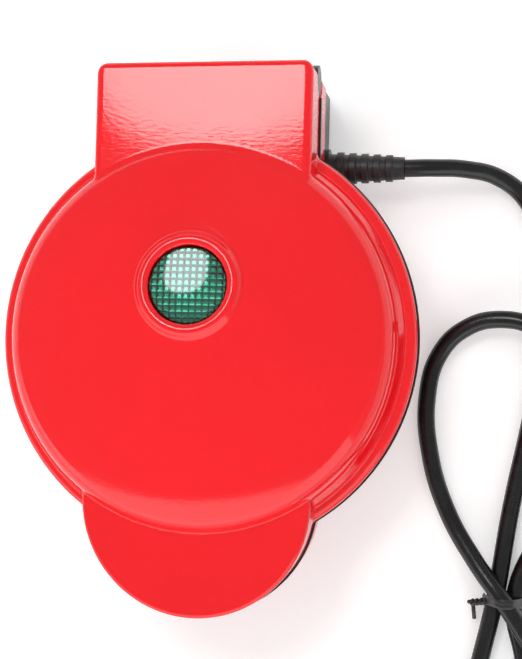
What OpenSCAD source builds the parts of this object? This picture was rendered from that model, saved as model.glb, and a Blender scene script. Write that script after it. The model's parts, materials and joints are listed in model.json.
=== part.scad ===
// Fish-cake maker: a round hinged cooker with a fish-shaped mould in each half.
// The two halves are built from the parting plane outwards, the lid upwards and the base downwards.
// In each half x runs to the right, y to the hinge, and z away from the parting plane.

/* [Round housing] */
// Radius of the rim where the lid and the base meet
rim_r = 63.5; // [62:0.5:70]
// Height of the rim band on each half
rim_h = 4.6; // [4.2:0.1:6]
// Width of the step from the rim in to the foot of the dome
rim_step = 3.3; // [2.5:0.1:4]
// How far the dome's upright wall stands in from the rim
dome_inset = 6.5; // [5.5:0.1:7.5]
// Height of the dome above the parting plane
dome_h = 29.5; // [27.5:0.5:36]
// Radius of the dome's flat cap
cap_r = 130; // [110:5:180]
// Radius of the rounded shoulder between the cap and the wall
shoulder_r = 7; // [5:0.5:9]
// Depth of the base below the parting plane
base_h = 29.5; // [28:0.5:36]
// Radius of the rounded bottom edge of the base
base_corner_r = 13; // [9:0.5:14]
// Depth below the parting plane where the coloured base ends and the black bottom begins
split_h = 14; // [13.6:0.2:16]
// How far the black bottom stands in from the coloured base
split_step = 0.6; // [0.3:0.1:1]
// Thickness of the moulded walls
wall = 2.2; // [1.6:0.1:2.6]
// Thickness of the rim band's top
rim_t = 1.2; // [0.8:0.1:1.3]

/* [Hinge block] */
// Width of the block
block_w = 65.2; // [62:0.5:70]
// Height of the block on the lid
block_h = 16; // [14:0.5:19]
// Distance from the rim's centre to the back of the block
block_back = 81.3; // [80:0.5:88]
// Radius of the block's upright corners
block_corner_r = 3.2; // [2.8:0.1:4]
// Radius of the block's top edges
block_edge_r = 1.3; // [0.8:0.1:2]

/* [Handle tab] */
// Radius of the round front tab
tab_r = 34.3; // [32:0.1:36]
// Distance from the rim's centre forward to the tab's centre
tab_out = 48.1; // [46:0.1:52]
// Height of the tab on each half
tab_h = 13; // [11:0.5:13.4]
// Radius of the tab's top edge
tab_edge_r = 1.6; // [1:0.1:2.5]

/* [Indicator lens] */
// Radius of the lens
lens_r = 11.3; // [9:0.1:12]
// Distance from the rim's centre back to the lens
lens_back = 14.2; // [5:0.1:20]
// How far the lens's crown rises over its edge
lens_crown = 1.9; // [1:0.1:3]
// Thickness of the round bead around the lens
collar_t = 3.2; // [2.4:0.1:4]
// Pitch of the prisms on the back of the lens
prism_pitch = 1.9; // [1.6:0.1:2.6]

/* [Hinge] */
// Distance from the back of the block forward to the hinge axis
hinge_in = 3; // [2.8:0.1:3.2]
// Radius of the hinge barrel
barrel_r = 4.5; // [4:0.1:4.6]
// Gap between the barrel and the groove it turns in
barrel_gap = 0.7; // [0.5:0.1:0.8]
// Radius of the two steel hinge pins
pin_r = 1.5; // [1.2:0.1:2]
// Running clearance of the pins in the lid's knuckles
pin_fit = 0.05; // [0.02:0.01:0.08]
// Where the lid's knuckles begin, from the middle
knuckle_in = 12; // [11:0.5:14]
// Where the lid's knuckles end and the base's begin, from the middle
knuckle_mid = 21.7; // [20:0.1:24]

/* [Black frames] */
// Thickness of each frame's deck
frame_t = 3.1; // [2.8:0.1:3.2]
// Clearance between a frame and the shell around it
frame_fit = 0.2; // [0.1:0.05:0.3]
// Width of the deck between the shell and the plate's opening
deck_w = 5.1; // [4.6:0.1:5.4]
// How far the base frame's edge stands out from the shells
flange_out = 0.5; // [0.3:0.1:0.8]
// Thickness of the base frame's edge
flange_t = 1.5; // [1.2:0.1:1.8]

/* [Cooking plates] */
// Thickness of a plate's lip
lip_t = 1.2; // [1:0.1:1.3]
// Width of the lip over the frame
lip_w = 2.3; // [2:0.1:2.4]
// Thickness of a plate away from the mould
plate_t = 4; // [3.5:0.1:4.5]
// Thickness of the metal around the mould
mould_wall = 2.4; // [2:0.1:3]
// Half length of the fish's body
fish_l = 36; // [33:0.5:37]
// Half width of the fish's body
fish_w = 25; // [22:0.5:26]
// Depth of the mould's steep edge
fish_edge = 4.5; // [3.5:0.1:5]
// Extra depth at the middle of the body
fish_belly = 6; // [4:0.5:6.5]
// Distance of the body's middle from the plate's middle, towards the head
fish_shift = 7; // [5:0.5:8]
// Height of the ridges that print scales and fins
ridge_h = 0.7; // [0.5:0.1:0.9]
// Width of those ridges
ridge_w = 1; // [0.8:0.1:1.4]
// Radius of one scale
scale_r = 5; // [4.5:0.1:5.5]
// Radius of the heating tube
heater_tube_r = 3; // [2.5:0.1:3.2]

/* [Feet and screws] */
// Height of the feet below the bottom
foot_h = 5.5; // [4:0.5:8]
// Radius of a foot
foot_r = 6.5; // [5:0.5:7]
// Distance of a front foot from the middle, sideways
foot_x = 27; // [22:1:28]
// Distance of a front foot forward of the rim's centre
foot_y = 22; // [18:1:26]
// Distance of a rear foot from the middle, sideways
rear_foot_x = 21; // [20:0.5:23]
// Radius of a screw's shank
screw_r = 1.3; // [1:0.1:1.5]
// Radius of a screw's head
head_r = 2.8; // [2.4:0.1:3]

/* [Mains lead] */
// Diameter of the cord
cord_d = 5.6; // [5:0.1:6]
// Height of the cord's outlet above the surface
outlet_z = 14; // [13:0.5:16]
// Distance of the outlet behind the rim's centre
outlet_y = 55; // [52:0.5:57]
// Length of the tapered boot at the outlet
boot_l = 25; // [20:1:26]

/* [Hidden] */
$fn = 96;
e = 0.01;

red = "#e3212c";
black = "#1b1b1d";
steel = "#b9bcc0";
coating = "#2d2c2e";
far = 150;

half_gap = 0.15;
shell_gap = 0.3;
part_z = base_h + foot_h;
front_reach = tab_out + tab_r + flange_out;
hinge_y = block_back - hinge_in;
back_reach = hinge_y + barrel_r;
circle_y = (front_reach - back_reach) / 2;

dome_r = rim_r - dome_inset;
crease_r = rim_r - rim_step;
crease_h = rim_h + 0.5;
shoulder_x = dome_r - shoulder_r;
shoulder_z = dome_h - cap_r + sqrt(pow(cap_r - shoulder_r, 2) - pow(shoulder_x, 2));
base_corner_z = base_h - base_corner_r;
rim_edge_r = 1;
groove_r = barrel_r + barrel_gap;
knuckle_gap = 0.3;
knuckle_out = block_w / 2 - 0.2;
pin_end = knuckle_out - 1.2;

opening_r = rim_r - wall - frame_fit - deck_w;
lip_r = opening_r + lip_w;
lip_fit = 0.3;
plate_top = half_gap + 0.2;
lip_floor = plate_top + lip_t;
plate_r = opening_r - 0.4;
plate_back = plate_top + plate_t;
heater_r = opening_r - 4;
heater_z = plate_back + heater_tube_r;
heater_gap_angle = 30;
terminal_z = heater_z + 8;
frame_back = half_gap + frame_t;

fish_c = (fish_l * fish_l - fish_w * fish_w) / (2 * fish_w);
fish_arc = fish_w + fish_c;
belly_up = (fish_arc * fish_arc - fish_c * fish_c - fish_belly * fish_belly) / (2 * fish_belly);
belly_r = sqrt(fish_arc * fish_arc + belly_up * belly_up);
fish_deep = plate_top + fish_edge + fish_belly;
mould_back = fish_deep + mould_wall - 0.4;
tail_x = fish_l - fish_shift - 8;
tail_end = 46;

reflector_t = 0.6;
reflector_z = mould_back + 1.8;
plate_screw_r = heater_r - 12;
plate_screw_angles = [60, 120, 240, 300];

front_screw = [14, -(tab_out + 20)];
rear_screw = [24, block_back - 18.5];
boss_r = 3.2;
head_h = 1.5;
cover_in = split_step + wall;
cover_floor = base_h - wall;
rear_foot_y = block_back - 11.5;

cord_r = cord_d / 2;
outlet_h = part_z - outlet_z;
cover_side = block_w / 2 - split_step;
terminal_at = [-3, 61];
wire_r = 0.9;

// The cord lies on the surface from the boot's tip to the plug, in millimetres from the origin
cord_route = [
    [57, 55, 14], [66, 55.2, 13.4], [76, 55.2, 10.4], [86, 53.2, 6.2], [94.5, 46.6, 3.6],
    [99.8, 35, 2.9], [102, 20, 2.9], [101.6, 4, 2.9], [97.6, -20, 2.9], [91.6, -50, 2.9],
    [87, -79, 4.1], [82.4, -100, 3], [78, -122, 2.9], [77.2, -146, 2.9], [80.8, -162, 2.9],
    [89.4, -172.2, 2.9], [101, -175.6, 2.9], [112.6, -172.2, 2.9], [121.2, -162, 2.9], [124.4, -146, 2.9],
    [120.6, -126, 3.2], [112, -110.4, 5.6], [101, -95.4, 9.4], [90, -79, 9.5], [80.4, -66.4, 5.8],
    [71.6, -51.6, 3], [66, -34, 2.9], [64.8, -16, 2.9], [68.4, -2.6, 3.4], [76.6, 5.8, 4.8],
    [87.4, 8.6, 6.8], [98.4, 5.8, 8.5], [106.8, -2.6, 8], [110.2, -15, 5.8], [108.8, -32, 3.4],
    [102.4, -54, 2.9], [93, -79, 4.1], [95.8, -95, 3.8], [99.6, -112, 5.6], [101, -126, 7]
];
cord_sides = 10;
tie_y = -79;
plug_start = cord_route[len(cord_route) - 1];
plug_w = 24;
plug_t = 14;
plug_l = 20;
plug_boot = 10;
blade_gap = 12.7;
blade_l = 15;

function unit(v) = v / norm(v);

// Places what stands above the parting plane
module upper() translate([0, circle_y, part_z]) children();

// Places what hangs below it
module lower() translate([0, circle_y, part_z]) mirror([0, 0, 1]) children();

module left_right() {
    children();
    mirror([1, 0, 0]) children();
}

// A round bar between two points
module rod(a, b, r) {
    v = b - a;
    translate(a) rotate([0, acos(v[2] / norm(v)), atan2(v[1], v[0])]) cylinder(h = norm(v), r = r);
}

// A round tube swept along its points, with one ring at each
function tube_ring(p, i, r, sides) = let (
    d = unit(p[min(i + 1, len(p) - 1)] - p[max(i - 1, 0)]),
    s = unit(cross(abs(d[2]) > 0.9 ? [0, 1, 0] : [0, 0, 1], d)),
    u = cross(d, s)
) [for (k = [0:sides - 1]) p[i] + r * (cos(360 * k / sides) * s + sin(360 * k / sides) * u)];

// The points of a route, with one more between each two, where a smooth line would pass
function smooth_line(p) = let (last = len(p) - 1) [
    for (i = [0:last - 1]) let (before = p[max(i - 1, 0)], after = p[min(i + 2, last)])
        each [p[i], (9 * (p[i] + p[i + 1]) - before - after) / 16],
    p[last]
];

module swept(route, r, sides) {
    rings = len(route);
    points = [for (i = [0:rings - 1]) each tube_ring(route, i, r, sides)];
    first = [for (k = [0:sides - 1]) k];
    last = [for (k = [sides - 1:-1:0]) (rings - 1) * sides + k];
    walls = [
        for (i = [0:rings - 2], k = [0:sides - 1]) let (n = (k + 1) % sides)
        [i * sides + k, (i + 1) * sides + k, (i + 1) * sides + n, i * sides + n]
    ];
    polyhedron(points, concat([first, last], walls), convexity = 10);
}

// A rectangle from y = 0 to y = back, with its two far corners rounded
module square_end(half, back, r) {
    translate([-half, 0]) square([2 * half, back - r]);
    translate([-(half - r), 0]) square([2 * (half - r), back]);
    left_right() translate([half - r, back - r]) circle(r);
}

module block_outline(t) square_end(block_w / 2 - t, block_back - t, max(block_corner_r - t, 0.5));

module tab_outline(t) {
    translate([0, -tab_out]) circle(tab_r - t);
    translate([-(tab_r - t), -tab_out]) square([2 * (tab_r - t), tab_out]);
}

module plan_outline(t) {
    circle(rim_r - t);
    block_outline(t);
    tab_outline(t);
}

// The rim band and the flare up to the upright wall, as a half section
module rim_section(t, top_t) {
    r = rim_r - t;
    h = rim_h - top_t;
    k = max(rim_edge_r - t, 0.1);
    translate([0, -e]) square([r - k, h + e]);
    translate([0, -e]) square([r, h - k + e]);
    translate([r - k, h - k]) circle(k, $fn = 48);
    polygon([
        [0, -e], [crease_r - t, -e], [crease_r - t, crease_h - top_t],
        [dome_r - t, shoulder_z - top_t], [0, shoulder_z - top_t]
    ]);
}

// Half section of the lid's dome, t inside the outer face
module dome_section(t, top_t) {
    tangent = shoulder_x * cap_r / (cap_r - shoulder_r);
    rim_section(t, top_t);
    square([dome_r - t, shoulder_z]);
    translate([shoulder_x, shoulder_z]) circle(shoulder_r - t);
    intersection() {
        translate([0, dome_h - cap_r]) circle(cap_r - t, $fn = 200);
        square([tangent - t * shoulder_x / (cap_r - shoulder_r), dome_h]);
    }
}

// Half section of the base's bowl, t inside the outer face
module bowl_section(t, top_t) {
    rim_section(t, top_t);
    square([dome_r - t, base_corner_z]);
    square([dome_r - base_corner_r, base_h - t]);
    translate([dome_r - base_corner_r, base_corner_z]) circle(base_corner_r - t);
}

module revolved() rotate_extrude() intersection() {
    children();
    translate([0, -1]) square([far, far]);
}

// The hinge block with its top edges rounded, t inside the outer face
module block_form(t, top, edge) {
    half = block_w / 2 - t;
    back = block_back - t;
    k = max(edge - t, 0.2);
    intersection() {
        translate([0, 0, -1]) linear_extrude(top - t + 1) block_outline(t);
        translate([0, far, 0]) rotate([90, 0, 0]) linear_extrude(2 * far) crowned(half, top - t, k);
        translate([-far, 0, 0]) rotate([90, 0, 90]) linear_extrude(2 * far) crowned(back, top - t, k);
    }
}

// A rectangle from -half to half and up to top, with its upper corners rounded
module crowned(half, top, k) {
    translate([-half, -1]) square([2 * half, top - k + 1]);
    translate([-(half - k), -1]) square([2 * (half - k), top + 1]);
    left_right() translate([half - k, top - k]) circle(k, $fn = 48);
}

// The round front tab with its top edge rounded, t inside the outer face
module tab_form(t) {
    r = tab_r - t;
    top = tab_h - t;
    k = max(tab_edge_r - t, 0.2);
    translate([0, -tab_out, 0]) revolved() crowned(r, top, k);
    translate([-r, -tab_out, -1]) cube([2 * r, tab_out - 10, top + 1]);
}

// Everything nearer the parting plane than z, or further from it
module slab(from, to) translate([-far, -far, from]) cube([2 * far, 2 * far, to - from]);

// A bar along the hinge axis between x0 and x1
module along_hinge(x0, x1, r) {
    translate([x0, hinge_y, 0]) rotate([0, 90, 0]) cylinder(h = x1 - x0, r = r);
}

// Moves to the lens's seat on the dome, square to the dome's face
module at_lens() {
    tilt = asin(lens_back / cap_r);
    translate([0, 0, dome_h - cap_r]) rotate([-tilt, 0, 0]) translate([0, 0, cap_r]) children();
}

module lid_bosses() {
    left_right() translate([front_screw[0], front_screw[1], frame_back])
        cylinder(h = tab_h - wall - frame_back + e, r = boss_r);
    left_right() translate([rear_screw[0], rear_screw[1], frame_back])
        cylinder(h = block_h - wall - frame_back + e, r = boss_r);
}

module lid_pilot_holes() {
    left_right() translate([front_screw[0], front_screw[1], 0]) cylinder(h = tab_h - wall - 1, r = screw_r);
    left_right() translate([rear_screw[0], rear_screw[1], 0]) cylinder(h = block_h - wall - 1, r = screw_r);
}

module lid_shell() color(red) upper() {
    difference() {
        union() {
            difference() {
                union() {
                    revolved() dome_section(0, 0);
                    block_form(0, block_h, block_edge_r);
                    tab_form(0);
                    at_lens() rotate_extrude() translate([lens_r + 0.2 + collar_t / 2, -0.2]) circle(collar_t / 2, $fn = 48);
                }
                revolved() dome_section(wall, rim_t);
                block_form(wall, block_h, block_edge_r);
                tab_form(wall);
                slab(-2, shell_gap);
            }
            lid_bosses();
        }
        lid_pilot_holes();
        along_hinge(-far, far, groove_r);
        at_lens() translate([0, 0, -wall - 3]) cylinder(h = wall + 8, r = lens_r + 0.2);
    }
}

module base_shell() color(red) lower() {
    flange_back = half_gap + flange_t;
    difference() {
        union() {
            difference() {
                union() {
                    revolved() bowl_section(0, 0);
                    block_form(0, base_h, block_edge_r);
                    tab_form(0);
                }
                revolved() bowl_section(wall, rim_t);
                block_form(wall, base_h, block_edge_r);
                tab_form(wall);
                slab(-2, flange_back);
                slab(split_h, far);
            }
            left_right() translate([front_screw[0], front_screw[1], frame_back])
                cylinder(h = tab_h - wall - frame_back + e, r = boss_r);
        }
        left_right() translate([front_screw[0], front_screw[1], 0]) cylinder(h = tab_h - wall - 1, r = screw_r);
        along_hinge(-far, far, groove_r);
    }
}

// The black deck that closes a half, with the plate's opening and its recess
module deck(outline_t, edge_out) {
    difference() {
        union() {
            translate([0, 0, half_gap]) linear_extrude(frame_t) plan_outline(outline_t);
            if (edge_out > 0) translate([0, 0, half_gap]) linear_extrude(flange_t) plan_outline(-edge_out);
        }
        translate([0, 0, -1]) cylinder(h = frame_t + 3, r = opening_r);
        translate([0, 0, -1]) cylinder(h = lip_floor + 1, r = lip_r + lip_fit);
    }
}

// A countersunk hole for a deck screw, and the screw itself
module deck_hole() {
    translate([0, 0, -1]) cylinder(h = frame_t + 3, r = screw_r + 0.3);
    translate([0, 0, -1]) cylinder(h = head_h + 1 + half_gap, r = head_r + 0.3);
}

module deck_screw(length) {
    translate([0, 0, half_gap + 0.1]) difference() {
        cylinder(h = head_h - 0.1, r = head_r);
        translate([0, 0, -e]) cylinder(h = 0.8, r = 1.2, $fn = 6);
    }
    translate([0, 0, half_gap + head_h - e]) cylinder(h = length, r = screw_r);
}

module pin_holes(r_lid, r_base) left_right() {
    along_hinge(knuckle_in - 1, knuckle_mid + knuckle_gap / 2, r_lid);
    along_hinge(knuckle_mid, pin_end, r_base);
}

module lid_frame() color(black) upper() {
    difference() {
        union() {
            difference() {
                deck(wall + frame_fit, 0);
                along_hinge(-far, far, groove_r);
            }
            left_right() {
                along_hinge(knuckle_in, knuckle_mid - knuckle_gap / 2, barrel_r);
                translate([knuckle_in, hinge_y - groove_r - 2, half_gap])
                    cube([knuckle_mid - knuckle_gap / 2 - knuckle_in, groove_r + 2, frame_t]);
            }
        }
        pin_holes(pin_r + pin_fit, pin_r + pin_fit);
        left_right() translate(concat(front_screw, 0)) deck_hole();
        left_right() translate(concat(rear_screw, 0)) deck_hole();
        translate([6, hinge_y - 9, -1]) cube([knuckle_in - 6.5, 14, frame_t + 2]);
    }
}

module base_frame() color(black) lower() {
    post_top = cover_floor;
    outer = knuckle_mid + knuckle_gap / 2;
    difference() {
        union() {
            difference() {
                deck(wall + frame_fit, flange_out);
                along_hinge(-far, far, groove_r);
            }
            left_right() {
                along_hinge(outer, knuckle_out, barrel_r);
                translate([outer, hinge_y - groove_r - 2, half_gap])
                    cube([block_w / 2 - wall - frame_fit - outer, groove_r + 2, frame_t]);
                translate([rear_screw[0], rear_screw[1], frame_back - e])
                    cylinder(h = post_top - frame_back + e, r = boss_r);
            }
        }
        pin_holes(pin_r + 0.02, pin_r + 0.02);
        left_right() translate(concat(front_screw, 0)) deck_hole();
        left_right() translate([rear_screw[0], rear_screw[1], post_top - 10]) cylinder(h = 11, r = screw_r);
        translate([-knuckle_in + 0.5, hinge_y - 9, -1]) cube([knuckle_in - 6.5, 14, frame_t + 2]);
    }
}

module foot_places() {
    left_right() translate([foot_x, -foot_y, 0]) children();
    left_right() translate([rear_foot_x, rear_foot_y, 0]) children();
}

// A fan of air slots in the bottom
module vents() {
    for (i = [-4:4]) translate([i * 6 - 1.2, -14 + abs(i), 0]) cube([2.4, 28 - 2 * abs(i), wall + 2]);
}

module bottom_cover() color(black) lower() {
    difference() {
        union() {
            difference() {
                union() {
                    revolved() bowl_section(split_step, 0);
                    block_form(split_step, base_h + split_step, block_edge_r);
                    translate([0, 0, base_h - 1]) cylinder(h = 1, r = dome_r - base_corner_r);
                }
                difference() {
                    union() {
                        revolved() bowl_section(cover_in, rim_t);
                        block_form(cover_in, base_h + split_step, block_edge_r);
                    }
                    slab(cover_floor, far);
                }
                slab(-2, split_h);
            }
            // Tongue that hooks behind the front of the coloured base
            intersection() {
                translate([0, 0, split_h - 2]) difference() {
                    cylinder(h = 4, r = dome_r - wall - 0.3);
                    translate([0, 0, -1]) cylinder(h = 6, r = dome_r - wall - 2);
                }
                translate([-12, -far, 0]) cube([24, far, far]);
            }
            // Sleeves around the screws
            left_right() translate([rear_screw[0], rear_screw[1], cover_floor - 0.01])
                cylinder(h = wall, r = boss_r + 1);
        }
        translate([0, 0, cover_floor - 1]) vents();
        foot_places() translate([0, 0, cover_floor - 1]) cylinder(h = wall + 2, r = foot_r - 2.5);
        left_right() translate([rear_screw[0], rear_screw[1], cover_floor - 1]) cylinder(h = wall + 2, r = screw_r + 0.3);
        left_right() translate([rear_screw[0], rear_screw[1], base_h - head_h]) cylinder(h = head_h + 1, r = head_r + 0.3);
        translate([cover_side - 6, outlet_y - circle_y, outlet_h]) rotate([0, 90, 0]) cylinder(h = 10, r = 4.5);
    }
}

// A rubber foot with a stud that fills its hole in the bottom
module foot(x, y) color("#161616") lower() translate([x, y, base_h]) {
    rotate_extrude() {
        square([foot_r, foot_h - 1]);
        square([foot_r - 1, foot_h]);
        translate([foot_r - 1, foot_h - 1]) circle(1, $fn = 32);
    }
    translate([0, 0, -wall]) cylinder(h = wall + e, r = foot_r - 2.7);
}

module foot_front_left() foot(-foot_x, -foot_y);
module foot_front_right() foot(foot_x, -foot_y);
module foot_rear_left() foot(-rear_foot_x, rear_foot_y);
module foot_rear_right() foot(rear_foot_x, rear_foot_y);

// The fish's body seen from above, t outside the mould's edge
module body_outline(t) translate([-fish_shift, 0]) intersection() {
    translate([0, fish_c]) circle(fish_arc + t);
    translate([0, -fish_c]) circle(fish_arc + t);
}

// The forked tail, as two round lobes with a notch between them
module tail_outline(t) difference() {
    union() {
        left_lobe(t);
        mirror([0, 1]) left_lobe(t);
        translate([tail_x - 2, -6 - t]) square([12 + t, 12 + 2 * t]);
    }
    translate([tail_end + 6, 0]) circle(11 - t);
}

module left_lobe(t) intersection() {
    translate([tail_x + 6, 28]) circle(23 + t);
    translate([tail_x + 22, 5]) circle(19 + t);
    translate([tail_x - 3 - t, -6]) square([tail_end - tail_x + 3 + 2 * t, 24 + t]);
}

// A fin that rises from the back or the belly
module fin_outline(x, t) intersection() {
    translate([x - fish_shift, fish_w - 9]) circle(13 + t);
    translate([x - fish_shift - 8, fish_w - 4]) circle(19 + t);
}

module fins(t) {
    fin_outline(4, t);
    mirror([0, 1]) fin_outline(9, t);
}

module fish_outline(t) {
    body_outline(t);
    tail_outline(t);
    fins(t);
}

// The space that the cake fills in one half, up to a given height under its floor
module fish_space(raise) {
    translate([0, 0, -1]) linear_extrude(plate_top + fish_edge + 1 - raise) body_outline(0);
    translate([0, 0, -1]) linear_extrude(plate_top + fish_edge + 0.5 - raise) tail_outline(0);
    translate([0, 0, -1]) linear_extrude(plate_top + fish_edge - raise) fins(0);
    translate([-fish_shift, 0, plate_top + fish_edge - raise - e]) intersection() {
        translate([0, fish_c, -belly_up]) sphere(belly_r, $fn = 128);
        translate([0, -fish_c, -belly_up]) sphere(belly_r, $fn = 128);
        translate([-50, -50, 0]) cube([100, 100, 20]);
    }
}

module arc_line(r, from, to) difference() {
    circle(r + ridge_w / 2, $fn = 48);
    circle(r - ridge_w / 2, $fn = 48);
    rotate(from) translate([-3 * r, -3 * r]) square([6 * r, 3 * r]);
    rotate(to) translate([-3 * r, 0]) square([6 * r, 3 * r]);
}

// Scales in staggered rows, the gill, the eye and the rays of tail and fins
module ridge_lines() {
    for (col = [0:2], row = [-1:1]) {
        stagger = (col % 2 == 0) ? 0 : scale_r;
        if (col % 2 == 0 || row < 1)
            translate([-fish_shift - 4 + col * scale_r * 1.35, row * 2 * scale_r + stagger])
                arc_line(scale_r, -90, 90);
    }
    translate([-fish_shift - fish_l + 6, 0]) arc_line(14, -48, 48);
    translate([-fish_shift - 26, 5]) difference() {
        circle(2.6, $fn = 32);
        circle(1.5, $fn = 32);
    }
    for (a = [-32, -19, 19, 32]) translate([tail_x - 6, 0]) rotate(a) translate([14, -ridge_w / 2]) square([11, ridge_w]);
}

module ridges() intersection() {
    translate([0, 0, plate_top]) linear_extrude(fish_deep) ridge_lines();
    difference() {
        fish_space(0);
        fish_space(ridge_h);
    }
}

// A die-cast plate: lip, skin, the back of the mould, the heater's seat and the screw bosses
module plate() {
    difference() {
        union() {
            translate([0, 0, plate_top]) cylinder(h = lip_t, r = lip_r);
            translate([0, 0, plate_top]) cylinder(h = plate_t, r = plate_r);
            translate([0, 0, plate_top]) linear_extrude(fish_edge + mould_wall) fish_outline(mould_wall);
            translate([0, 0, plate_top]) linear_extrude(mould_back - plate_top) body_outline(-6);
            rotate_extrude() translate([heater_r - heater_tube_r - 0.6, plate_top])
                square([plate_r - heater_r + heater_tube_r + 0.6, plate_t + heater_tube_r - 0.7]);
            for (a = plate_screw_angles) rotate(a) translate([plate_screw_r, 0, plate_top])
                cylinder(h = reflector_z - plate_top, r = boss_r);
        }
        fish_space(0);
        rotate_extrude() translate([heater_r, heater_z]) circle(heater_tube_r + 0.05, $fn = 48);
        rotate_extrude() translate([plate_r - 1.8, plate_top - 0.3]) circle(1.1, $fn = 32);
        for (a = plate_screw_angles) rotate(a) translate([plate_screw_r, 0, reflector_z - 7])
            cylinder(h = 8, r = screw_r);
    }
    ridges();
}

module lower_plate() color(coating) lower() plate();
module upper_plate() color(coating) upper() plate();

// A heating tube bent to a ring, with a cold pin and a blade at each end
module heater() {
    tip = 3;
    rotate(90 + heater_gap_angle - tip) rotate_extrude(angle = 360 - 2 * heater_gap_angle + 2 * tip)
        translate([heater_r, heater_z]) circle(heater_tube_r, $fn = 48);
    for (a = [90 + heater_gap_angle, 90 - heater_gap_angle]) rotate(a) translate([heater_r, 0, heater_z]) {
        cylinder(h = 6, r = 1.9);
        translate([-0.4, -2.4, 5]) cube([0.8, 4.8, terminal_z - heater_z - 5]);
    }
}

module lower_heater() color("#6d6f72") lower() heater();
module upper_heater() color("#6d6f72") upper() heater();

// A pressed steel dish behind the heater
module reflector(hole_r) difference() {
    rim = heater_r - heater_tube_r - 1.2;
    rotate_extrude() {
        polygon([
            [hole_r, reflector_z], [rim - 4, reflector_z], [rim - 1, reflector_z - 4], [rim + 1, reflector_z - 4],
            [rim + 1, reflector_z - 4 + reflector_t], [rim - 0.6, reflector_z - 4 + reflector_t],
            [rim - 3.6, reflector_z + reflector_t], [hole_r, reflector_z + reflector_t]
        ]);
    }
    for (a = plate_screw_angles) rotate(a) translate([plate_screw_r, 0, reflector_z - 1]) cylinder(h = 3, r = screw_r + 0.3);
}

module lower_reflector() color(steel) lower() reflector(9);
module upper_reflector() color(steel) upper() reflector(6);

module plate_screws() for (a = plate_screw_angles) rotate(a) translate([plate_screw_r, 0, reflector_z + reflector_t]) {
    difference() {
        cylinder(h = head_h, r = head_r);
        translate([0, 0, head_h - 0.8]) cylinder(h = 1, r = 1.2, $fn = 6);
    }
    translate([0, 0, -6]) cylinder(h = 6 + e, r = screw_r - 0.02);
}

module lower_plate_screws() color(steel) lower() plate_screws();
module upper_plate_screws() color(steel) upper() plate_screws();

module lid_frame_screws() color(steel) upper() {
    left_right() translate(concat(front_screw, 0)) deck_screw(6);
    left_right() translate(concat(rear_screw, 0)) deck_screw(8);
}

module base_frame_screws() color(steel) lower() left_right() translate(concat(front_screw, 0)) deck_screw(6);

module bottom_cover_screws() color(steel) lower() left_right() translate([rear_screw[0], rear_screw[1], base_h - head_h]) {
    difference() {
        cylinder(h = head_h - 0.1, r = head_r);
        translate([0, 0, head_h - 0.9]) cylinder(h = 1, r = 1.2, $fn = 6);
    }
    translate([0, 0, -8]) cylinder(h = 8 + e, r = screw_r - 0.02);
}

module hinge_pin() along_hinge(knuckle_in + 0.6, pin_end - 0.3, pin_r);
module hinge_pin_right() color(steel) upper() hinge_pin();
module hinge_pin_left() color(steel) upper() mirror([1, 0, 0]) hinge_pin();

// Half of the flexible sleeve that takes the wires across the hinge, along its axis
module wire_sleeve() difference() {
    union() {
        along_hinge(0.2, 9, 1.9);
        translate([9, hinge_y, 0]) sphere(1.9, $fn = 32);
        rod([9, hinge_y, 0], [9, hinge_y - 4.6, 6.4], 1.9);
    }
    along_hinge(-1, 8.4, 1.2);
}

module wire_sleeve_lid() color("#2b2b2b") upper() wire_sleeve();
module wire_sleeve_base() color("#2b2b2b") lower() mirror([1, 0, 0]) wire_sleeve();

// Snap-disc thermostat pressed against the back of the lower mould
module thermostat() color("#e9e2d0") lower() {
    translate([0, 0, mould_back]) {
        cylinder(h = 1.6, r = 6.5);
        translate([0, 0, 1.5]) cylinder(h = 6, r = 8);
    }
    translate([-14, -3.5, reflector_z + reflector_t]) cube([28, 7, 0.8]);
    left_right() translate([3, -2, mould_back + 7]) cube([0.8, 4, 5]);
}

module thermal_fuse() color("#d8d4cc") lower() translate([-24, 0, reflector_z + reflector_t + 2.1]) {
    translate([0, -6, 0]) rotate([-90, 0, 0]) cylinder(h = 12, r = 2.1);
    translate([0, -10, 0]) rotate([-90, 0, 0]) cylinder(h = 20, r = 0.6);
    translate([-3.4, -2, -2.1]) cube([6.8, 4, 0.6]);
}

// Screw terminals on the floor of the hinge block
module terminal_block() color("#ece8dc") lower() translate([terminal_at[0], terminal_at[1], cover_floor - 8]) {
    difference() {
        translate([-9, -5, 0]) cube([18, 10, 8]);
        for (i = [-1, 0, 1]) translate([i * 5.6, 0, -1]) cylinder(h = 5, r = 1.8);
        for (i = [-1, 0, 1]) translate([i * 5.6, -6, 5]) rotate([-90, 0, 0]) cylinder(h = 12, r = 1.1);
    }
}

// Saddle that grips the cord inside the block
module cord_clamp() color("#26262a") lower() translate([rear_screw[0] - 9, outlet_y - circle_y, outlet_h]) {
    difference() {
        union() {
            translate([-4, -5, -5]) cube([8, 10, cover_floor - outlet_h + 5]);
            translate([-4, -9, cover_floor - outlet_h - 2]) cube([8, 18, 2]);
        }
        translate([-6, 0, 0]) rotate([0, 90, 0]) cylinder(h = 12, r = cord_r);
    }
}

module cord_inner_end() color(black) lower() translate([10, outlet_y - circle_y, outlet_h])
    rotate([0, 90, 0]) cylinder(h = cover_side - wall - 3 - 10, r = cord_r);

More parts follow.
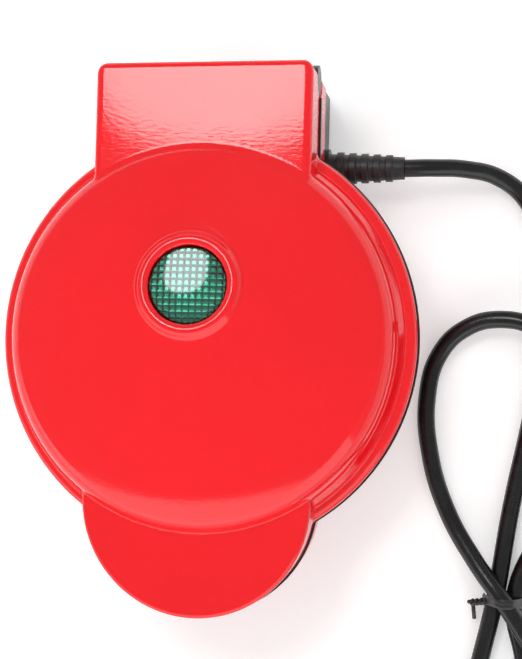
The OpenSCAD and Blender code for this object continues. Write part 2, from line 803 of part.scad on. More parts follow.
// Moulded bush in the wall with its tapered, ribbed boot
module strain_relief() color(black) translate([cover_side, outlet_y, outlet_z]) rotate([0, 90, 0]) difference() {
    ribs = 5;
    step = (boot_l - 6) / ribs;
    rotate_extrude() {
        translate([0, -wall - 3]) square([5.6, 3]);
        translate([0, -wall - e]) square([4.4, wall + 2 * e]);
        square([6, 1.6]);
        polygon([[0, 1.5], [4.6, 1.5], [3.5, boot_l], [0, boot_l]]);
        for (i = [0:ribs - 1]) translate([0, 4 + i * step]) square([5.1 - i * 0.22, step * 0.55]);
    }
    translate([0, 0, -wall - 4]) cylinder(h = wall + 5, r = cord_r);
}

module wire(points) swept(points, wire_r, 8);

// Where a wire is crimped to the heater's blade on the right
function blade_at(side) = let (r = heater_r - 1.4)
    [side * r * sin(heater_gap_angle), r * cos(heater_gap_angle), terminal_z - 1.2];

module lower_wires() color("#8d8f93") lower() {
    right = blade_at(1);
    left = blade_at(-1);
    top = cover_floor - 8.4;
    deep = cover_floor - 2;
    x = terminal_at[0];
    y = terminal_at[1];
    wire([right, right + [-2, 6, 1], [10, 53, 13], [x + 5.6, y - 2, 14], [x + 5.6, y, top]]);
    wire([left, left + [2, 5, 2], [-14, 55, 15], [x - 5.6, y - 1, 15], [x - 5.6, y, top]]);
    wire([[-3.4, 0, mould_back + 12.8], [-5, 20, deep - 0.5], [x, 48, 22], [x, y - 3, 15], [x, y, top]]);
    wire([[-24, 11, reflector_z + reflector_t + 2.1], [-22, 24, 21], [-14, 44, 22], [x - 7.4, y - 3, 17], [x - 7.4, y, top]]);
    wire([[-9, hinge_y - 4.9, 6.8], [-9, hinge_y - 7, 10], [x - 3.4, y + 3, 15], [x - 3.4, y, top]]);
}

module upper_wires() color("#8d8f93") upper() {
    right = blade_at(1);
    left = blade_at(-1);
    wire([[9, hinge_y - 4.9, 6.8], [11, hinge_y - 9, 9], [16, 58, 11], right + [-3, 5, -3], right]);
    wire([[8, hinge_y - 5.4, 7.4], [2, 66, 9.6], [-14, 57, 11], left + [3, 5, -3], left]);
    lamp = lens_back + 3.6;
    wire([[9, hinge_y - 6, 8.6], [5, 60, 10], [2, 54, 11.8], [1.5, 49, 14.6], [1, 44, 16.7], [0, lamp + 8, 17.4], [0, lamp, 17.2]]);
}

// Dished green lens with prisms on its back, and the flange that holds it under the dome
module indicator_lens() color("#0f7a4c") upper() at_lens() {
    crown_r = (lens_r * lens_r + lens_crown * lens_crown) / (2 * lens_crown);
    edge_z = -0.4;
    flange_z = wall + 1.8;
    difference() {
        union() {
            translate([0, 0, -flange_z]) cylinder(h = flange_z + edge_z, r = lens_r);
            intersection() {
                translate([0, 0, edge_z + lens_crown - crown_r]) sphere(crown_r, $fn = 160);
                translate([0, 0, edge_z - e]) cylinder(h = 10, r = lens_r);
            }
            translate([0, 0, -flange_z]) cylinder(h = 0.8, r = lens_r + 1.4);
        }
        for (turn = [0, 90], i = [-5:5]) rotate(turn) translate([i * prism_pitch, 0, -flange_z]) rotate([0, 45, 0])
            cube([0.8, 2 * lens_r + 4, 0.8], center = true);
    }
}

// Cup behind the lens that carries the lamp
module lamp_holder() color("#e6e3da") upper() at_lens() translate([0, 0, -wall - 1.85]) {
    rotate_extrude() {
        translate([lens_r - 0.4, -5.2]) square([1.4, 5.2]);
        translate([3.1, -5.2]) square([lens_r - 2.7, 1.2]);
    }
}

module neon_lamp() color("#f3b36a") upper() at_lens() translate([0, 0, -wall - 10.3]) {
    cylinder(h = 5.2, r = 2.9);
    translate([0, 0, 5.2]) sphere(2.9, $fn = 48);
}

module power_cord() color(black) swept(smooth_line(cord_route), cord_r, cord_sides);

// Wire tie around the three strands, with its ends twisted together
module cord_tie() color(black) {
    strands = [[87, 4.1], [93, 4.1], [90, 9.5]];
    translate([0, tie_y + 1.2, 0]) rotate([90, 0, 0]) linear_extrude(2.4) difference() {
        hull() for (s = strands) translate(s) circle(cord_r + 1.2, $fn = 32);
        hull() for (s = strands) translate(s) circle(cord_r + 0.3, $fn = 32);
    }
    rod([84, tie_y, 6.6], [80.4, tie_y - 1, 4.6], 1);
    rod([80.4, tie_y - 1, 4.6], [80.8, tie_y - 6, 2.6], 0.7);
}

module plug_outline() {
    translate([-plug_w / 2, 4]) square([plug_w, plug_l - 4]);
    translate([-plug_w / 2 + 4, 0]) square([plug_w - 8, plug_l]);
    left_right() translate([plug_w / 2 - 4, 4]) circle(4);
}

// Flat moulded plug with a tapered neck
module plug_body() color(black) translate(plug_start) rotate([0, 0, 180]) {
    translate([0, plug_boot, 0]) intersection() {
        translate([0, 0, -plug_t / 2]) linear_extrude(plug_t) plug_outline();
        translate([-far, 0, 0]) rotate([90, 0, 90]) linear_extrude(2 * far) {
            translate([0, -plug_t / 2 + 2]) square([plug_l, plug_t - 4]);
            translate([2, -plug_t / 2]) square([plug_l - 2, plug_t]);
            for (s = [-1, 1]) translate([2, s * (plug_t / 2 - 2)]) circle(2, $fn = 32);
        }
    }
    rotate([-90, 0, 0]) rotate_extrude() {
        polygon([[0, 0], [cord_r + 1, 0], [cord_r + 2.4, plug_boot + 1], [0, plug_boot + 1]]);
        for (i = [0:2]) translate([0, 1.6 + i * 3]) square([cord_r + 2 + i * 0.3, 1.4]);
    }
}

module plug_blades() color(steel) translate(plug_start) rotate([0, 0, 180]) translate([0, plug_boot + plug_l, 0]) {
    for (s = [-1, 1]) difference() {
        width = (s < 0) ? 6.3 : 7.9;
        translate([s * blade_gap / 2 - 0.75, 0, -width / 2]) cube([1.5, blade_l, width]);
        translate([s * blade_gap / 2 - 2, blade_l - 3.4, 0]) rotate([0, 90, 0]) cylinder(h = 4, r = 1.6);
    }
}

base_shell();
base_frame();
bottom_cover();
foot_front_left();
foot_front_right();
foot_rear_left();
foot_rear_right();
lower_plate();
lower_heater();
lower_reflector();
lower_plate_screws();
thermostat();
thermal_fuse();
terminal_block();
cord_clamp();
cord_inner_end();
strain_relief();
lower_wires();
base_frame_screws();
bottom_cover_screws();
hinge_pin_left();
hinge_pin_right();
wire_sleeve_base();
lid_shell();
lid_frame();
upper_plate();
upper_heater();
upper_reflector();
upper_plate_screws();
lid_frame_screws();
indicator_lens();
lamp_holder();
neon_lamp();
upper_wires();
wire_sleeve_lid();
power_cord();
cord_tie();
plug_body();
plug_blades();
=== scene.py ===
"""Round hinged fish-cake cooker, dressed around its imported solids.

Sizes are in metres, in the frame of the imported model: x to the right, y to the hinge, z up.
"""

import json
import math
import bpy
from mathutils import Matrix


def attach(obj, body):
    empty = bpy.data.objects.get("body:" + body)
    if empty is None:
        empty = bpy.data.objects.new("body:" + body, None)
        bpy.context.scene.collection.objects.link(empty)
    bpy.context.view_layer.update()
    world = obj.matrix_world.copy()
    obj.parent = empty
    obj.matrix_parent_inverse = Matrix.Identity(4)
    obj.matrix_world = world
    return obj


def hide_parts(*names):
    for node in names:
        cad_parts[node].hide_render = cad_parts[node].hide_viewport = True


bl_info = {
    "name": "Fish-cake cooker",
    "version": (1, 0, 0),
    "blender": (4, 5, 0),
    "location": "3D View > Sidebar > Cooker",
    "description": "Builds the cooker's shells, moulds, lens and lead, with finishes and a small studio",
    "category": "Object",
}

import bpy
import numpy as np
from bpy.props import FloatProperty, FloatVectorProperty, PointerProperty
from mathutils import Matrix, Vector

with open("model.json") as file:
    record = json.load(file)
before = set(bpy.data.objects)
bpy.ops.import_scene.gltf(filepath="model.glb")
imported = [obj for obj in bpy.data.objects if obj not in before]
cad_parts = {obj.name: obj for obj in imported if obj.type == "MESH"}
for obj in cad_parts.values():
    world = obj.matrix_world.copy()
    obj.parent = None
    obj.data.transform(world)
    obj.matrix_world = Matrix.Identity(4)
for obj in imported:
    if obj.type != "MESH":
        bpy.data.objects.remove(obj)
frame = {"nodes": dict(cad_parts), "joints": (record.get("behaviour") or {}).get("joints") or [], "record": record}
NODES = frame["nodes"]
HINGE = Vector(frame["joints"][0]["pos_m"])

# Height of the parting plane, the rim's centre, and the hinge measured from that centre
PART_Z = HINGE.z
CIRCLE_Y = 0.00005
HINGE_Y = HINGE.y - CIRCLE_Y

# Room between the lens and the lid around it
LENS_FIT = 0.0002

# How far the fish's middle lies to the left, and the centres and radius of its back's and belly's arcs
FISH_SHIFT = 0.007
FISH_ARC_Y = 0.01342
FISH_ARC = 0.03842

# The lead's centre line from the boot to the plug, and how far it is raised to clear the floor
LEAD_LIFT = 0.0001
CORD_ROUTE = [
    (0.057, 0.055, 0.014), (0.066, 0.0552, 0.0134), (0.076, 0.0552, 0.0104), (0.086, 0.0532, 0.0062),
    (0.0945, 0.0466, 0.0036), (0.0998, 0.035, 0.0029), (0.102, 0.02, 0.0029), (0.1016, 0.004, 0.0029),
    (0.0976, -0.02, 0.0029), (0.0916, -0.05, 0.0029), (0.087, -0.079, 0.0041), (0.0824, -0.1, 0.003),
    (0.078, -0.122, 0.0029), (0.0772, -0.146, 0.0029), (0.0808, -0.162, 0.0029), (0.0894, -0.1722, 0.0029),
    (0.101, -0.1756, 0.0029), (0.1126, -0.1722, 0.0029), (0.1212, -0.162, 0.0029), (0.1244, -0.146, 0.0029),
    (0.1206, -0.126, 0.0032), (0.112, -0.1104, 0.0056), (0.101, -0.0954, 0.0094), (0.09, -0.079, 0.0095),
    (0.0804, -0.0664, 0.0058), (0.0716, -0.0516, 0.003), (0.066, -0.034, 0.0029), (0.0648, -0.016, 0.0029),
    (0.0684, -0.0026, 0.0034), (0.0766, 0.0058, 0.0048), (0.0874, 0.0086, 0.0068), (0.0984, 0.0058, 0.0085),
    (0.1068, -0.0026, 0.008), (0.1102, -0.015, 0.0058), (0.1088, -0.032, 0.0034), (0.1024, -0.054, 0.0029),
    (0.093, -0.079, 0.0041), (0.0958, -0.095, 0.0038), (0.0996, -0.112, 0.0056), (0.101, -0.126, 0.007),
]

# Where the tie crosses the lead's three runs, and the x and z of each run there
TIE_Y = -0.079
TIE_RUNS = [(0.087, 0.0041), (0.093, 0.0041), (0.090, 0.0095)]


def metres(name, description, default):
    return FloatProperty(name=name, description=description, default=default, unit="LENGTH", precision=5)


def colour_prop(name, description, default):
    return FloatVectorProperty(name=name, description=description, default=default, size=3, subtype="COLOR")


class CookerSizes(bpy.types.PropertyGroup):
    rim_radius: metres("Rim radius", "Radius of the rim where the halves meet", 0.0635)
    rim_height: metres("Rim height", "Height of the rim band", 0.0046)
    rim_step: metres("Rim step", "Width of the step in to the foot of the dome", 0.0033)
    rim_round: metres("Rim rounding", "Radius of the rim's outer edge", 0.0026)
    dome_inset: metres("Dome inset", "How far the upright wall stands in from the rim", 0.0065)
    dome_height: metres("Dome height", "Height of the dome above the parting plane", 0.0295)
    cap_radius: metres("Cap radius", "Radius of the dome's flat cap", 0.130)
    shoulder_start: metres("Shoulder start", "From the middle to where the shoulder begins", 0.0526)
    shoulder_radius: metres("Shoulder radius", "Radius of the shoulder around the cap", 0.0085)
    foot_height: metres("Foot height", "Height at which the slanting foot meets the rim", 0.0051)
    wall: metres("Wall", "Thickness of the moulded walls", 0.0022)
    block_half: metres("Block half width", "Half the width of the hinge block", 0.0326)
    block_back: metres("Block back", "From the rim's centre to the back of the block", 0.0813)
    block_corner: metres("Block corner", "Radius of the block's upright corners", 0.0032)
    block_edge: metres("Block edge", "Radius of the block's top edges", 0.0020)
    block_height: metres("Block height", "Height of the block on the lid", 0.016)
    tab_radius: metres("Tab radius", "Radius of the front tab", 0.0343)
    tab_out: metres("Tab reach", "From the rim's centre to the tab's centre", 0.0481)
    tab_height: metres("Tab height", "Height of the tab on each half", 0.013)
    tab_edge: metres("Tab edge", "Radius of the tab's top edge", 0.0016)
    fillet: metres("Fillet", "Radius where the dome meets the block", 0.0011)
    collar_foot: metres("Collar foot", "Radius where the bead meets the cap", 0.0022)
    base_depth: metres("Base depth", "Depth of the base below the parting plane", 0.0295)
    split: metres("Split", "Depth where the black bottom begins", 0.014)
    lens_radius: metres("Lens radius", "Radius of the pilot lens", 0.0113)
    lens_back: metres("Lens place", "From the rim's centre back to the lens", 0.0142)
    collar: metres("Collar", "Radius of the round bead around the lens", 0.0016)
    cord_radius: metres("Cord radius", "Radius of the mains lead", 0.0028)
    plate_radius: metres("Plate radius", "Radius of a cooking plate's lip", 0.0583)
    grain: metres("Mesh grain", "Size of one face on the shells", 0.0007)


class CookerColours(bpy.types.PropertyGroup):
    red: colour_prop("Red", "Glossy red of the shells", (0.95, 0.006, 0.012))
    black: colour_prop("Black", "Black of frames, bottom and lead", (0.012, 0.012, 0.013))
    lens: colour_prop("Lens", "Green of the pilot lens", (0.06, 0.42, 0.27))
    coating: colour_prop("Coating", "Non-stick coating of the plates", (0.035, 0.033, 0.034))
    steel: colour_prop("Steel", "Bare steel of screws, pins and blades", (0.58, 0.58, 0.60))
    floor: colour_prop("Floor", "Pale surface under the cooker", (0.93, 0.93, 0.93))


def sizes():
    return bpy.context.scene.cooker_sizes


def colours():
    return bpy.context.scene.cooker_colours


# Shader groups shared by the finishes

def new_group(name, inputs, outputs):
    """A shader group: its inputs come with their defaults, and its outputs are plain numbers."""
    group = bpy.data.node_groups.new(name, "ShaderNodeTree")
    for label, default in inputs.items():
        kind = "NodeSocketVector" if isinstance(default, tuple) else "NodeSocketFloat"
        socket = group.interface.new_socket(label, in_out="INPUT", socket_type=kind)
        socket.default_value = default
    for label in outputs:
        group.interface.new_socket(label, in_out="OUTPUT", socket_type="NodeSocketFloat")
    start = group.nodes.new("NodeGroupInput")
    end = group.nodes.new("NodeGroupOutput")
    return group, start, end


def set_inputs(node, values):
    for label, value in values.items():
        node.inputs[label].default_value = value


def feed(group, socket, value):
    """Gives a socket a plain number, or links another node's output to it."""
    if isinstance(value, (int, float)):
        socket.default_value = value
    else:
        group.links.new(value, socket)


def own_place(tree):
    """A point's place in the piece's own coordinates."""
    return tree.nodes.new("ShaderNodeTexCoord").outputs["Object"]


def stretched_place(group, start):
    """The same place, stretched by the group's own setting."""
    stretch = group.nodes.new("ShaderNodeVectorMath")
    stretch.operation = "MULTIPLY"
    group.links.new(own_place(group), stretch.inputs[0])
    group.links.new(start.outputs["Stretch"], stretch.inputs[1])
    return stretch.outputs[0]


def noise_in(group, coordinates, scale, detail=2.0, roughness=0.5):
    noise = group.nodes.new("ShaderNodeTexNoise")
    set_inputs(noise, {"Detail": detail, "Roughness": roughness})
    group.links.new(coordinates, noise.inputs["Vector"])
    feed(group, noise.inputs["Scale"], scale)
    return noise.outputs["Fac"]


def calc(group, operation, a, b=None, c=None):
    node = group.nodes.new("ShaderNodeMath")
    node.operation = operation
    for i, value in enumerate((a, b, c)):
        if value is not None:
            feed(group, node.inputs[i], value)
    return node.outputs[0]


def remap(group, value, low, high, to_low, to_high):
    node = group.nodes.new("ShaderNodeMapRange")
    node.interpolation_type = "SMOOTHSTEP"
    for label, number in zip(("From Min", "From Max", "To Min", "To Max"), (low, high, to_low, to_high)):
        feed(group, node.inputs[label], number)
    group.links.new(value, node.inputs["Value"])
    return node.outputs["Result"]


def make_ripple_group():
    """Low waves and fine peel of a moulded or sprayed surface."""
    inputs = {"Scale": 500.0, "Fine": 0.3, "Stretch": (1.0, 1.0, 1.0)}
    group, start, end = new_group("surface_ripple", inputs, ["Height"])
    place = stretched_place(group, start)
    broad = noise_in(group, place, start.outputs["Scale"], 1.0)
    fine = noise_in(group, place, calc(group, "MULTIPLY", start.outputs["Scale"], 3.7), 2.0)
    height = calc(group, "MULTIPLY_ADD", fine, start.outputs["Fine"], broad)
    group.links.new(height, end.inputs["Height"])


def make_patch_group():
    """Slow change of shade and gloss over a surface, with fine rubbed specks."""
    inputs = {"Scale": 60.0, "Low": 0.2, "High": 0.3}
    group, start, end = new_group("handled_patches", inputs, ["Roughness", "Mask"])
    place = own_place(group)
    slow = noise_in(group, place, start.outputs["Scale"], 3.0, 0.6)
    specks = noise_in(group, place, calc(group, "MULTIPLY", start.outputs["Scale"], 23.0), 2.0)
    both = calc(group, "MULTIPLY_ADD", specks, 0.3, calc(group, "MULTIPLY", slow, 0.7))
    group.links.new(remap(group, both, 0.35, 0.65, start.outputs["Low"], start.outputs["High"]),
                    end.inputs["Roughness"])
    group.links.new(remap(group, both, 0.35, 0.65, 0.0, 1.0), end.inputs["Mask"])


def make_grain_group():
    """Spark-eroded grain of a moulded black part."""
    group, start, end = new_group("moulded_grain", {"Scale": 2500.0}, ["Height"])
    place = own_place(group)
    cells = group.nodes.new("ShaderNodeTexVoronoi")
    group.links.new(place, cells.inputs["Vector"])
    group.links.new(start.outputs["Scale"], cells.inputs["Scale"])
    group.links.new(cells.outputs["Distance"], end.inputs["Height"])


def make_brushed_group():
    """Fine drawn lines along one direction."""
    inputs = {"Stretch": (4000.0, 120.0, 4000.0)}
    group, start, end = new_group("drawn_lines", inputs, ["Height", "Shade"])
    lines = noise_in(group, stretched_place(group, start), 1.0, 3.0)
    group.links.new(lines, end.inputs["Height"])
    group.links.new(remap(group, lines, 0.3, 0.7, 0.75, 1.0), end.inputs["Shade"])


# Finishes

def finish_base(name, colour, roughness, metallic=0.0, coat=0.0):
    material = bpy.data.materials.new(name)
    material.use_nodes = True
    shader = material.node_tree.nodes["Principled BSDF"]
    material.diffuse_color = (*colour, 1.0)
    set_inputs(shader, {"Base Color": (*colour, 1.0), "Roughness": roughness, "Metallic": metallic,
                        "Coat Weight": coat})
    return material, material.node_tree, shader


def add_group(tree, name, **values):
    node = tree.nodes.new("ShaderNodeGroup")
    node.node_tree = bpy.data.node_groups[name]
    set_inputs(node, values)
    return node


def bump(tree, shader, height, distance, edge=0.0):
    """Leads a height into the shader's normal, over edges rounded by the given radius."""
    node = tree.nodes.new("ShaderNodeBump")
    set_inputs(node, {"Strength": 1.0, "Distance": distance})
    tree.links.new(height, node.inputs["Height"])
    if edge:
        rounded = tree.nodes.new("ShaderNodeBevel")
        rounded.samples = 4
        rounded.inputs["Radius"].default_value = edge
        tree.links.new(rounded.outputs["Normal"], node.inputs["Normal"])
    tree.links.new(node.outputs["Normal"], shader.inputs["Normal"])


def shade_mix(tree, shader, mask, first, second):
    mix = tree.nodes.new("ShaderNodeMix")
    mix.data_type = "RGBA"
    set_inputs(mix, {"A": (*first, 1.0), "B": (*second, 1.0)})
    tree.links.new(mask, mix.inputs["Factor"])
    tree.links.new(mix.outputs["Result"], shader.inputs["Base Color"])


def drifting_gloss(tree, shader, scale, low, high):
    """Lets the roughness drift between two values, and returns the mask of its patches."""
    patches = add_group(tree, "handled_patches", Scale=scale, Low=low, High=high)
    tree.links.new(patches.outputs["Roughness"], shader.inputs["Roughness"])
    return patches.outputs["Mask"]


def ripple_height(tree, **values):
    return add_group(tree, "surface_ripple", **values).outputs["Height"]


def scaled(colour, k):
    return tuple(min(1.0, c * k) for c in colour)


def red_gloss():
    """High-gloss red plastic with a faint orange peel."""
    red = tuple(colours().red)
    material, tree, shader = finish_base("red_gloss", red, 0.08)
    patches = drifting_gloss(tree, shader, 45.0, 0.055, 0.10)
    shade_mix(tree, shader, patches, red, scaled(red, 0.965))
    bump(tree, shader, ripple_height(tree, Scale=1150.0, Fine=0.15, Stretch=(0.4, 1.0, 0.7)), 0.000014)
    return material


def black_plastic(name="black_plastic", low=0.28, high=0.42, grain=0.00002, edge=0.0003):
    """Satin black moulded plastic with a fine grain."""
    black = tuple(colours().black)
    material, tree, shader = finish_base(name, black, low)
    patches = drifting_gloss(tree, shader, 70.0, low, high)
    shade_mix(tree, shader, patches, black, scaled(black, 1.6))
    bump(tree, shader, add_group(tree, "moulded_grain", Scale=2200.0).outputs["Height"], grain, edge)
    return material


def lead_rubber():
    """Extruded black lead: smooth along its length, with slow waves."""
    black = tuple(colours().black)
    material, tree, shader = finish_base("lead_rubber", black, 0.3)
    shader.inputs["Specular IOR Level"].default_value = 0.4
    patches = drifting_gloss(tree, shader, 90.0, 0.2, 0.3)
    shade_mix(tree, shader, patches, scaled(black, 0.4), scaled(black, 0.9))
    bump(tree, shader, ripple_height(tree, Scale=260.0, Fine=0.1), 0.00006)
    return material


def steel(name="bare_steel", colour=None, low=0.22, high=0.36, stretch=(3000.0, 200.0, 3000.0)):
    colour = tuple(colour or colours().steel)
    material, tree, shader = finish_base(name, colour, low, metallic=1.0)
    drifting_gloss(tree, shader, 150.0, low, high)
    lines = add_group(tree, "drawn_lines", Stretch=stretch)
    shade_mix(tree, shader, lines.outputs["Shade"], scaled(colour, 0.7), colour)
    bump(tree, shader, lines.outputs["Height"], 0.000012, 0.0002)
    return material


def nonstick():
    """Grey-black non-stick coating with fine metallic flecks over cast aluminium."""
    coating = tuple(colours().coating)
    material, tree, shader = finish_base("nonstick_coating", coating, 0.34, coat=0.25)
    shader.inputs["Coat Roughness"].default_value = 0.22
    drifting_gloss(tree, shader, 55.0, 0.28, 0.46)
    place = own_place(tree)
    flecks = tree.nodes.new("ShaderNodeTexVoronoi")
    flecks.inputs["Scale"].default_value = 1600.0
    tree.links.new(place, flecks.inputs["Vector"])
    mask = remap(tree, flecks.outputs["Distance"], 0.05, 0.16, 1.0, 0.0)
    shade_mix(tree, shader, mask, coating, scaled(coating, 4.5))
    bump(tree, shader, ripple_height(tree, Scale=1100.0, Fine=0.5), 0.00003)
    return material


def plain_part(name, colour, low, high, ripple=0.00002):
    """Ceramic, glass-fibre and mica parts: matt, slightly mottled."""
    material, tree, shader = finish_base(name, colour, low)
    patches = drifting_gloss(tree, shader, 200.0, low, high)
    shade_mix(tree, shader, patches, colour, scaled(colour, 0.8))
    bump(tree, shader, ripple_height(tree, Scale=900.0, Fine=0.6), ripple, 0.0002)
    return material


def cell_share(tree, value, pitch):
    """How far through its own cell a point is, from 0 to 1."""
    ahead = 0.1
    return calc(tree, "FRACT", calc(tree, "DIVIDE", calc(tree, "ADD", value, ahead), pitch))


def green_lens():
    """Clear green lens: rows of blunt little pyramids, seen through its smooth front, with painted shade in the
    valleys between them and on the upper part of each cell.
    """
    green = tuple(colours().lens)
    material, tree, shader = finish_base("green_lens", green, 0.16, metallic=0.85, coat=1.0)
    set_inputs(shader, {"Coat Roughness": 0.06, "Coat IOR": 1.49})
    place = own_place(tree)
    split = tree.nodes.new("ShaderNodeSeparateXYZ")
    tree.links.new(place, split.inputs[0])
    columns, rows = [cell_share(tree, split.outputs[axis], 0.0019) for axis in ("X", "Y")]
    slopes = [calc(tree, "ABSOLUTE", calc(tree, "SUBTRACT", share, 0.5)) for share in (columns, rows)]
    ridge = calc(tree, "MAXIMUM", *slopes)
    # Painted shade: the valleys between the pyramids are darkened in the colour
    painted_valley_shade = remap(tree, ridge, 0.42, 0.48, 0.0, 1.0)
    cloudy = remap(tree, noise_in(tree, place, 210.0, 2.0), 0.35, 0.65, 0.0, 0.4)
    # Painted shade: each cell darkens towards its upper edge, standing in for how light falls on the facets
    painted_facet_shade = remap(tree, rows, 0.3, 0.75, 0.0, 0.62)
    # Random cloudiness together with the painted shade of the valleys and the upper part of each cell
    cloud_and_painted_shade = calc(tree, "MAXIMUM", calc(tree, "MAXIMUM", cloudy, painted_facet_shade), painted_valley_shade)
    shade_mix(tree, shader, cloud_and_painted_shade, green, scaled(green, 0.1))
    drifting_gloss(tree, shader, 300.0, 0.08, 0.22)
    facet = calc(tree, "MAXIMUM", ridge, 0.22)
    bump(tree, shader, calc(tree, "MULTIPLY", facet, -1.0), 0.00125)
    return material


def lamp_glass():
    material, tree, shader = finish_base("lamp_glass", (0.95, 0.6, 0.35), 0.05)
    shader.inputs["Transmission Weight"].default_value = 0.6
    bump(tree, shader, ripple_height(tree, Scale=400.0, Fine=0.1), 0.00002)
    return material


# Mesh tools

CORNERS = [np.array(corner) for corner in np.ndindex(2, 2, 2)]


def add_object(name, data):
    thing = bpy.data.objects.new(name, data)
    bpy.context.scene.collection.objects.link(thing)
    return thing


def new_piece(name, mesh, body, material, replaced=()):
    """Puts a finished piece on its body, in place of the solids that it stands for."""
    piece = add_object(name, mesh)
    mesh.materials.clear()
    mesh.materials.append(material)
    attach(piece, body)
    if replaced:
        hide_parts(*replaced)
    return piece


def smooth_mesh(name, points, faces):
    """A smooth-shaded mesh of faces with any number of corners."""
    mesh = bpy.data.meshes.new(name)
    mesh.from_pydata(points.tolist(), [], faces)
    mesh.polygons.foreach_set("use_smooth", np.ones(len(faces), bool))
    mesh.update()
    return mesh


def mesh_from(name, points, faces, normals=None):
    """A large mesh whose faces all have the same number of corners."""
    mesh = bpy.data.meshes.new(name)
    faces = np.asarray(faces)
    corners = faces.shape[1]
    mesh.vertices.add(len(points))
    mesh.vertices.foreach_set("co", np.asarray(points, np.float32).ravel())
    mesh.loops.add(faces.size)
    mesh.loops.foreach_set("vertex_index", faces.astype(np.int32).ravel())
    mesh.polygons.add(len(faces))
    mesh.polygons.foreach_set("loop_start", np.arange(0, faces.size, corners, dtype=np.int32))
    mesh.polygons.foreach_set("use_smooth", np.ones(len(faces), bool))
    mesh.update(calc_edges=True)
    mesh.validate()
    if normals is not None:
        mesh.normals_split_custom_set_from_vertices(normals.tolist())
    return mesh


def round_join(a, b, r):
    """Union of two forms with a fillet of radius r in the corner between them."""
    return np.maximum(r, np.minimum(a, b)) - np.hypot(np.maximum(r - a, 0), np.maximum(r - b, 0))


def round_cut(a, b, r):
    """What two forms share, with their common edge rounded to radius r."""
    return np.minimum(-r, np.maximum(a, b)) + np.hypot(np.maximum(r + a, 0), np.maximum(r + b, 0))


def slope_of(field, points, step=0.00003):
    """Value and gradient of a form at each point."""
    x, y, z = points.T
    gradient = np.stack([
        field(x + step, y, z) - field(x - step, y, z),
        field(x, y + step, z) - field(x, y - step, z),
        field(x, y, z + step) - field(x, y, z - step),
    ], 1) / (2 * step)
    return field(x, y, z), gradient


def crossings(value, where):
    """Mean place, in cells, of the points where the surface cuts the edges of each cell."""
    total = np.zeros((len(where), 3))
    hits = np.zeros(len(where))
    for a in CORNERS:
        for axis in range(3):
            if a[axis]:
                continue
            b = a.copy()
            b[axis] = 1
            va = value[tuple((where + a).T)]
            vb = value[tuple((where + b).T)]
            crossed = (va < 0) != (vb < 0)
            share = np.where(crossed, va / np.where(crossed, va - vb, 1.0), 0.0)
            total += crossed[:, None] * (a + share[:, None] * (b - a))
            hits += crossed
    return where + total / hits[:, None]


def onto_surface(field, points, reach):
    """Moves points down the slope onto the surface, by no more than the reach at a time."""
    for _ in range(4):
        off, gradient = slope_of(field, points)
        steep = np.maximum((gradient ** 2).sum(1), 0.05)
        move = (off / steep)[:, None] * gradient
        points = points - np.clip(move, -reach, reach)
    return points


def quads_between(inside, number):
    """One quad across each grid edge that leads through the surface, facing outwards."""
    quads = []
    for axis in range(3):
        u, v = np.eye(3, dtype=int)[[(axis + 1) % 3, (axis + 2) % 3]]
        first = np.take(inside, range(inside.shape[axis] - 1), axis)
        second = np.take(inside, range(1, inside.shape[axis]), axis)
        at = np.argwhere(first != second)
        leaving = first[tuple(at.T)]
        around = np.stack([number[tuple(p.T)] for p in (at - u - v, at - v, at, at - u)], 1)
        around[~leaving] = around[~leaving][:, ::-1]
        quads.append(around)
    return np.concatenate(quads)


def surface_net(field, low, high, cell):
    """Quads over the surface of a form: one point a cell, moved onto it, with its normal there."""
    low = np.array(low, float)
    axes = [np.arange(a, b + cell, cell) for a, b in zip(low, high)]
    value = field(*np.meshgrid(*axes, indexing="ij", sparse=True))
    inside = value < 0
    n = np.array(inside.shape) - 1
    count = sum(inside[i:i + n[0], j:j + n[1], k:k + n[2]].astype(np.int8) for i, j, k in CORNERS)
    mixed = (count > 0) & (count < 8)
    number = np.full(mixed.shape, -1)
    number[mixed] = np.arange(mixed.sum())
    points = low + crossings(value, np.argwhere(mixed)) * cell
    points = onto_surface(field, points, 0.5 * cell)
    gradient = slope_of(field, points)[1]
    normals = gradient / np.maximum(np.linalg.norm(gradient, axis=1), 1e-6)[:, None]
    return points, quads_between(inside, number), normals


def into_frame(points, normals, quads, side):
    """From a half's own coordinates to the frame: side is 1 for the lid and -1 for the base."""
    placed = points * (1, 1, side) + (0, CIRCLE_Y, PART_Z)
    return placed, normals * (1, 1, side), quads if side > 0 else quads[:, ::-1]


# The red shells

def block_plan(x, y, s):
    """The hinge block seen from above: a rectangle with its two far corners rounded."""
    qx = np.abs(x) - (s.block_half - s.block_corner)
    qy = y - (s.block_back - s.block_corner)
    outside = np.hypot(np.maximum(qx, 0), np.maximum(qy, 0))
    return outside + np.minimum(np.maximum(qx, qy), 0) - s.block_corner


def tab_plan(x, y, s):
    """The front tab seen from above: straight sides that end in a half circle."""
    return np.where(y < -s.tab_out, np.hypot(x, y + s.tab_out), np.abs(x)) - s.tab_radius


def slanted(r, z, low, high):
    """Distance out from the straight line that runs from a low point up to a high one."""
    run, rise = high[0] - low[0], high[1] - low[1]
    return ((r - low[0]) * rise - (z - low[1]) * run) / math.hypot(run, rise)


